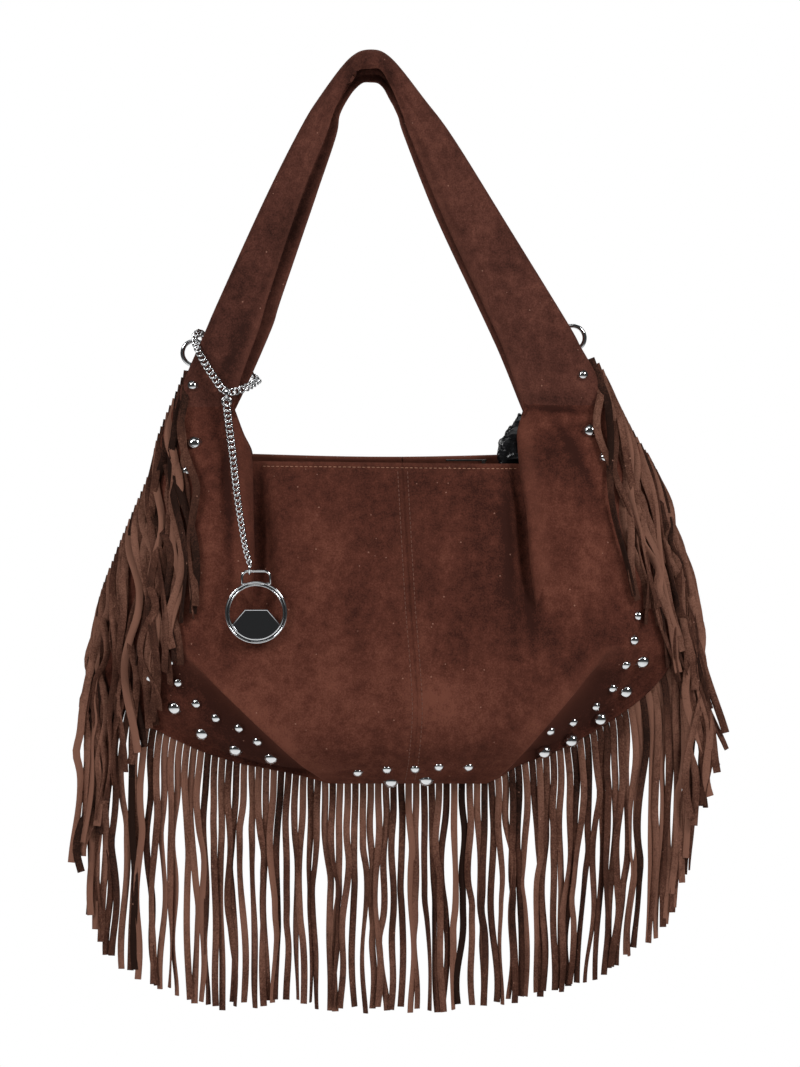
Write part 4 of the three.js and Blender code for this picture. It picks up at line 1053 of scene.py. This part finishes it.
link_line = []
for u, v in circle(1, 22):
    across, turn = (link_wide / 2 - link_wire) * v, link_twist * u
    link_line.append(((link_long / 2 - link_wire) * u, across * math.cos(turn), across * math.sin(turn)))
link_unit = wire_piece("link_unit", link_line, link_wire, sides=8)


def linked(nodes, line, pitch, first_roll, each_roll):
    link = nodes("GeometryNodeObjectInfo", link_unit, output="Geometry")
    return copies_along(nodes, line, pitch, link, nodes("GeometryNodeInputIndex") * each_roll + first_roll)


link_sizes = {"Pitch": link_pitch, "First roll": link_roll_first, "Roll each": link_roll_each}
loop_line = curve_through(CHAIN_LOOP_ROUTE, True, 240)
chain_loop = grown("chain_loop_links", [loop_line], linked, chrome, link_sizes, closed=True)
fit(chain_loop, "bag", "polished_metal", "chain_loop")

link_low, link_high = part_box("joining_link")
joining_radius = (link_high.z - link_low.z) / 2 - ring_wire
joining_line = ring_line((link_low + link_high) / 2, joining_radius, "x", joint_gap, 48)
joining_link = wire_piece("joining_link_wire", joining_line, ring_wire, closed=False)
fit(joining_link, "joining_link", "polished_metal", "joining_link")

tail_links = grown("tail_links", [curve_through(TAIL_ROUTE, False, 120)[2:]], linked, chrome, link_sizes)
bpy.data.objects.remove(link_unit)
top_ring = wire_piece("tail_top_ring", ring_line(TAIL_TOP, top_ring_radius, "y", count=32), ring_wire)
end_ring_line = ring_line(TAIL_END, end_ring_radius, "x", joint_gap, 40)
end_ring = wire_piece("tail_end_ring", end_ring_line, ring_wire, closed=False)
chain_tail = joined("chain_tail_links", tail_links, top_ring, end_ring)
fit(chain_tail, "chain_tail", "polished_metal", "chain_tail")


# Charm: a cast dark ring with two chrome ridges, a bare plate set across its lower part, and a bail.
# Every piece of it is soldered to the ring; it hangs in the tail's last ring.
charm_radius = 21.5 * MM
plate_thick, plate_ease, plate_radius = 1.5 * MM, 0.3 * MM, 18.6 * MM
plate_top, plate_top_half, plate_shoulder = 1.7 * MM, 7.7 * MM, math.atan2(-7.5, 14.3)
border_wire, bail_wire, ridge_forward = 0.45 * MM, 0.95 * MM, 0.45 * MM
bail_half, bail_high, bail_corner = 9.7 * MM, 8.6 * MM, 4.0 * MM
bail_foot = charm_radius - 1.6 * MM
# Half the rim's section: radius and depth in millimetres. Then each ridge: radius and wire.
RIM_SECTION = [(18.3, -0.4), (21.2, -0.4), (21.4, 0.2), (21.2, 1.0),
               (20.8, 1.2), (18.8, 1.2), (18.3, 0.7), (18.3, -0.4)]
RIDGES = [(18.8, 0.55), (20.85, 0.65)]
charm_low, charm_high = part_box("charm")
charm_middle = (charm_low + charm_high) / 2
charm_middle.z = charm_low.z + charm_radius
to_charm = Matrix.Translation(charm_middle)
to_upright = Matrix.Rotation(math.pi / 2, 4, "X")
gunmetal = chrome_material("dark_mirror", (0.42, 0.43, 0.45), 0.06, 0.05)


def plate_piece(name, rings, depth, ease, material):
    """A flat plate in the XZ plane with its edges eased; the rings after the first are holes."""
    flat_rings = [[(u, v, 0) for u, v in ring] for ring in rings]
    plate = curve_piece(name, flat_rings, True, material, dimensions="2D", fill_mode="BOTH",
                        extrude=depth / 2 - ease, bevel_depth=ease, bevel_resolution=2)
    plate.data.transform(to_upright)
    return plate


def on_charm(outline, forward=0.0):
    return [charm_middle + Vector((u, -forward, v)) for u, v in outline]


rim = ring_mesh("charm_rim", turned([(r * MM, -y * MM) for r, y in RIM_SECTION], 96), gunmetal)
rim.data.transform(to_charm @ to_upright)
ridge_centre = charm_middle - Vector((0, ridge_forward, 0))
ridges = [wire_piece(f"rim_ridge_{i}", ring_line(ridge_centre, r * MM, "y", 0, 96), wire * MM)
          for i, (r, wire) in enumerate(RIDGES)]
plate_outline = [(-plate_top_half, plate_top),
                 *arc(plate_radius, math.pi - plate_shoulder, 2 * math.pi + plate_shoulder, 40),
                 (plate_top_half, plate_top)]
plate = plate_piece("charm_plate", [plate_outline], plate_thick, plate_ease, gunmetal)
plate.data.transform(to_charm)
border = wire_piece("plate_border", on_charm(plate_outline, plate_thick / 2), border_wire, sides=6)
corner_x, corner_z = bail_half - bail_corner, bail_foot + bail_high - bail_corner
bail_outline = [(-bail_half, bail_foot), (bail_half, bail_foot),
                *arc(bail_corner, 0, math.pi / 2, 8, (corner_x, corner_z)),
                *arc(bail_corner, math.pi / 2, math.pi, 8, (-corner_x, corner_z))]
bail = wire_piece("charm_bail", on_charm(bail_outline), bail_wire, sides=12)
charm = joined("charm_plate_and_ring", rim, *ridges, plate, border, bail)
charm.data.set_sharp_from_angle(angle=math.radians(35))
fit(charm, "charm", "polished_metal", "charm")


# Rings: closed chrome wire behind the handle's feet, each turning in a suede tab with two rows of stitches.
# The tab is a loop of suede round the ring's wire, sewn down at the handle's edge.
ring_radius, ring_thick = 8.5 * MM, 1.5 * MM
tab_thick, tab_tail, tab_pitch, tab_margin = 1.4 * MM, 0.8 * MM, 2.4 * MM, 1.2 * MM
tab_foot, tab_bow = 0.5 * MM, 0.25 * MM
for hand, side in (("left", -1), ("right", 1)):
    low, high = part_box(f"ring_{hand}")
    line = ring_line((low + high) / 2, ring_radius, "y", joint_gap, 72, math.pi / 2)
    ring = wire_piece(f"ring_{hand}_wire", line, ring_thick, closed=False, sides=14)
    fit(ring, f"ring_{hand}", "polished_metal", f"ring_{hand}")
    low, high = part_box(f"ring_tab_{hand}")
    tab_x, tab_y = (low.x + high.x) / 2, (low.y + high.y) / 2
    tab_radius = (high.x - low.x) / 2 - tab_thick / 2
    wrap = arc(tab_radius, math.radians(-62), math.radians(242), 26, (tab_x, tab_y))
    foot_y = tab_y - tab_radius - tab_foot
    wrap = [(wrap[0][0] + tab_tail, foot_y), *wrap, (wrap[-1][0] - tab_tail, foot_y)]
    points = np.array([[(x, y, z) for x, y in wrap] for z in np.linspace(low.z, high.z, 9)])
    points[..., 0] += tab_bow * np.sin((points[..., 2] - low.z) / (high.z - low.z) * math.pi) * side
    tab = sheet(f"tab_{hand}", points, handle_suede, tab_thick)
    tab_arc = arc(tab_radius + tab_thick / 2, 0.1, math.pi - 0.1, 20, (tab_x + 0.1 * MM, tab_y))
    tab_rows = [[(x, y, z) for x, y in tab_arc] for z in (low.z + tab_margin, high.z - tab_margin)]
    tab_threads = stitches(f"tab_threads_{hand}", tab_rows, brown_thread, tab_pitch)
    fit(joined(f"ring_tab_{hand}_loop", tab, tab_threads), "bag", "suede", f"ring_tab_{hand}")


# Lining: a woven cotton pouch, sewn in at the mouth and hanging just inside the panels.
# It narrows towards the mouth, where the side strips and the zip tapes take the room.
lining_thick, lining_inset = 0.5 * MM, 2.5 * MM
lining_gap_mouth, lining_gap_low = 3.2 * MM, 13 * MM
lining_least, lining_ease, lining_swells, lining_slack = 0.35 * MM, 40 * MM, 30, 0.12
lining_top, lining_bottom = mouth_z - 4.5 * MM, hem_z + 6 * MM
narrow_left, narrow_right, narrow_reach = 48 * MM, 84 * MM, 30 * MM
lining_rows, lining_columns = 60, 70


def woven_material(name, warp, weft):
    made = Material(name)
    threads = [made("ShaderNodeTexWave", Scale=420.0, Distortion=1.2, Detail=1.0, bands_direction="X",
                    Vector=made("ShaderNodeMapping", Vector=made.place, Rotation=(0, turn, 0)))
               for turn in (0.0, math.pi / 2)]
    weave = threads[0] * 0.5 + threads[1] * 0.5
    colour = made.ramp(weave * 0.7 + made.clouds(60, 3) * 0.4, (0.25, warp), (0.8, weft))
    return made.skin(colour, 0.8, made.bump(weave, 0.5, 0.0004), Sheen_Weight=0.15)


lining_cloth = woven_material("lining_cloth", srgb(20, 16, 14), srgb(44, 36, 31))
around = np.linspace(0, 2, lining_columns * 2, endpoint=False)[None, :]
facing = np.where((around > 0) & (around < 1), -1.0, np.where(around > 1, 1.0, 0.0))
z = mix(lining_top, lining_bottom, np.linspace(0, 1, lining_rows)**1.15)[:, None] + 0 * around
near_mouth = smooth((z - mouth_z) / narrow_reach + 1)
x = mix(seams[-1](z) + lining_inset + narrow_left * near_mouth,
        seams[1](z) - lining_inset - narrow_right * near_mouth, np.where(around <= 1, around, 2 - around))
gap = mix(lining_gap_mouth, lining_gap_low, smooth((mouth_z - z) / lining_ease))
y = facing * np.maximum(lining_least, front_depth(x, z) - gap - 1.25 * strip_groove(x, z))
y = y * (1 - lining_slack * np.clip(crumple(x, y, z, lining_swells, 1.0), 0, 1))
points = np.stack([x, y, z], -1)
points = np.concatenate([points, points[:, :1]], 1)
fit(sheet("lining_pouch", points, lining_cloth, lining_thick), "bag", "lining", "lining")


# Zip: two woven tapes sewn inside the mouth, moulded metal teeth, a slider with its pull, and an end tab
# of coated cloth folded over the tapes. The rows bow apart in the middle of the mouth: the zip is open.
zip_z, pin_z = -268.6 * MM, -264.13 * MM
zip_offset = along([(-70, 5.6), (-48, 10.3), (40, 10.3), (62, 7.0), (72, 5.6), (90, 5.6)])
zip_xs = np.linspace(-70 * MM, 90 * MM, 80)
tooth_pitch, tooth_size, teeth_drop = 2.7 * MM, (1.3 * MM, 2.5 * MM, 2.0 * MM), 1.1 * MM
nib_radius, nib_out, nib_lift = 0.75 * MM, 1 * MM, 0.7 * MM
tape_thick, tape_gap, tape_lean, tape_up, tape_down = 0.6 * MM, 1.6 * MM, 0.7 * MM, 1 * MM, 8 * MM
dark_metal = chrome_material("zip_metal", (0.06, 0.055, 0.05), 0.4, 0.3)
tape_cloth = woven_material("tape_cloth", srgb(13, 12, 12), srgb(34, 31, 29))


def tooth_row(name, line, facing):
    """Moulded teeth along a line, each with a nib towards the other row."""
    def mould(nodes, base, pitch, nib_size):
        body = nodes("GeometryNodeMeshCube", tooth_size)
        nib = nodes("GeometryNodeMeshUVSphere", Segments=10, Rings=6, Radius=nib_size)
        nib = nodes("GeometryNodeTransform", Geometry=nib, Translation=(0, -facing * nib_out, nib_lift))
        tooth = nodes("GeometryNodeJoinGeometry", body)
        nodes.tree.links.new(nib.socket, tooth.socket.node.inputs[0])
        return copies_along(nodes, base, pitch, tooth)
    return grown(name, [line], mould, dark_metal, {"Pitch": tooth_pitch, "Nib": nib_radius})


for place, facing in (("front", -1), ("back", 1)):
    row = [(x, facing * float(zip_offset(x)), zip_z - teeth_drop) for x in zip_xs]
    teeth = tooth_row(f"teeth_{place}_row", row, facing)
    teeth.data.set_sharp_from_angle(angle=math.radians(40))
    fit(teeth, "bag", "zip_metal", f"zip_teeth_{place}")
    drop = np.linspace(0, 1, 8)[:, None]
    x = zip_xs[None, :] + 0 * drop
    y = facing * (zip_offset(x) + tape_gap + tape_lean * smooth(drop))
    points = np.stack([x, y, mix(zip_z + tape_up, zip_z - tape_down, drop) + 0 * x], -1)[:, ::facing]
    tape = sheet(f"tape_{place}_strip", points, tape_cloth, tape_thick)
    fit(tape, "bag", "lining", f"zip_tape_{place}")


def eased_box(name, size, centre, ease):
    """A metal block with rounded edges, measured in millimetres from the slider's middle."""
    corners = [Vector((i * size[0], j * size[1], k * size[2])) / 2
               for i in (-1, 1) for j in (-1, 1) for k in (-1, 1)]
    faces = [(0, 1, 3, 2), (4, 6, 7, 5), (0, 4, 5, 1), (2, 3, 7, 6), (0, 2, 6, 4), (1, 5, 7, 3)]
    vertices = [slider_middle + (Vector(centre) + corner) * MM for corner in corners]
    obj = mesh_object(name, vertices, [], faces, dark_metal)
    bevel = obj.modifiers.new("ease", "BEVEL")
    bevel.width = ease * MM
    bevel.segments = 3
    return joined(name, obj)


slider_low, slider_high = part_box("zip_slider")
slider_x = (slider_low.x + slider_high.x) / 2
slider_middle = Vector((slider_x, 0, zip_z))
SLIDER_BLOCKS = [
    ("slider_top", (12, 8, 1.1), (0, 0, 0.75), 0.45), ("slider_low", (11, 7, 0.9), (0, 0, -1.4), 0.4),
    ("slider_core", (4, 2.2, 2), (-3, 0, -0.3), 0.3), ("slider_lug_a", (2.4, 1.2, 4.2), (0, 4.3, 2.9), 0.4),
    ("slider_lug_b", (2.4, 1.2, 4.2), (0, -4.3, 2.9), 0.4),
]
pin_half, pin_wire = 4.4 * MM, 0.6 * MM
pin_line = [(slider_x, y, pin_z) for y in (-pin_half, 0, pin_half)]
slider_pin = wire_piece("slider_pin", pin_line, pin_wire, False, dark_metal)
slider = joined("slider_body", *[eased_box(*block) for block in SLIDER_BLOCKS], slider_pin)
fit(slider, "zip_slider", "zip_metal", "zip_slider")

pull_head, pull_waist, pull_end, pull_thick, pull_ease = [d * MM for d in (1.9, 1.6, 2.0, 1.3, 0.3)]
waist_x, widest_x, hole_x, end_x = [d * MM for d in (-9, -20, -22, -24)]
pull_outline = arc(pull_head, -math.pi / 2, math.pi / 2, 14) + [(waist_x, pull_waist), (widest_x, pull_end)]
pull_outline += arc(pull_end, math.pi / 2, 3 * math.pi / 2, 12, (end_x, 0)) + [(waist_x, -pull_waist)]
pull_holes = circle(1.0 * MM, 19), circle(0.8 * MM, 15, (hole_x, 0))
pull = plate_piece("pull_bar", [pull_outline, *pull_holes], pull_thick, pull_ease, dark_metal)
pull.data.transform(Matrix.Translation((slider_x, 0, pin_z)) @ to_upright)
fit(pull, "zip_pull", "zip_metal", "zip_pull")

end_rows, end_columns, end_square = 46, 60, 0.45
# From its foot to its tucked head: where the tab stands, half its width, and how far it passes its CAD box.
tab_middle_x, tab_half_x, tab_rise = (98.2 * MM, 104.5 * MM), (11.5 * MM, 3.2 * MM), 8.5 * MM
tab_swells, tab_crumple, tab_sway = 105, 2.2 * MM, 1.5 * MM
tab_low, tab_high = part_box("zip_end_tab")
coated = Material("coated_cloth")
creases = coated.clouds(120, 4, Distortion=1.5)
grain = coated("ShaderNodeTexVoronoi", Vector=coated.place, Scale=700.0, feature="DISTANCE_TO_EDGE")
tone = coated.ramp(creases, (0.3, srgb(6, 6, 7)), (0.75, srgb(24, 24, 27)))
relief = coated.bump(creases + grain * 0.15, 0.6, 0.0012)
coated_cloth = coated.skin(tone, creases * 0.2 + 0.12, relief, Coat_Weight=0.4)
v = np.linspace(0, 1, end_rows)[:, None]
turn = np.linspace(0, 2 * math.pi, end_columns, endpoint=False)[None, :]
tucked = smooth((v - 0.42) / 0.5)
ease = np.sqrt(np.clip(1 - np.abs(v * 2 - 1)**8, 0, 1))
square_x, square_y = (np.sign(w) * np.abs(w)**end_square * ease for w in (np.cos(turn), np.sin(turn)))
x = mix(*tab_middle_x, tucked) + mix(*tab_half_x, tucked) * square_x
y = (tab_high.y - tab_low.y) / 2 * (0.75 + 0.25 * np.sin(v * 9)) * square_y
z = mix(tab_low.z, tab_high.z + tab_rise, v) + 0 * turn
folds = crumple(x, y, z, tab_swells, tab_crumple)
points = np.stack([x + folds * np.sign(np.cos(turn)) + tab_sway * np.sin(v * 5),
                   y + folds * np.sign(np.sin(turn)) * 0.8, z + folds * 0.5 * ease], -1)
end_tab = ring_mesh("end_tab_fold", points, coated_cloth, ends=True)
end_tab.data.shade_smooth()
fit(end_tab, "bag", "coated_cloth", "zip_end_tab")
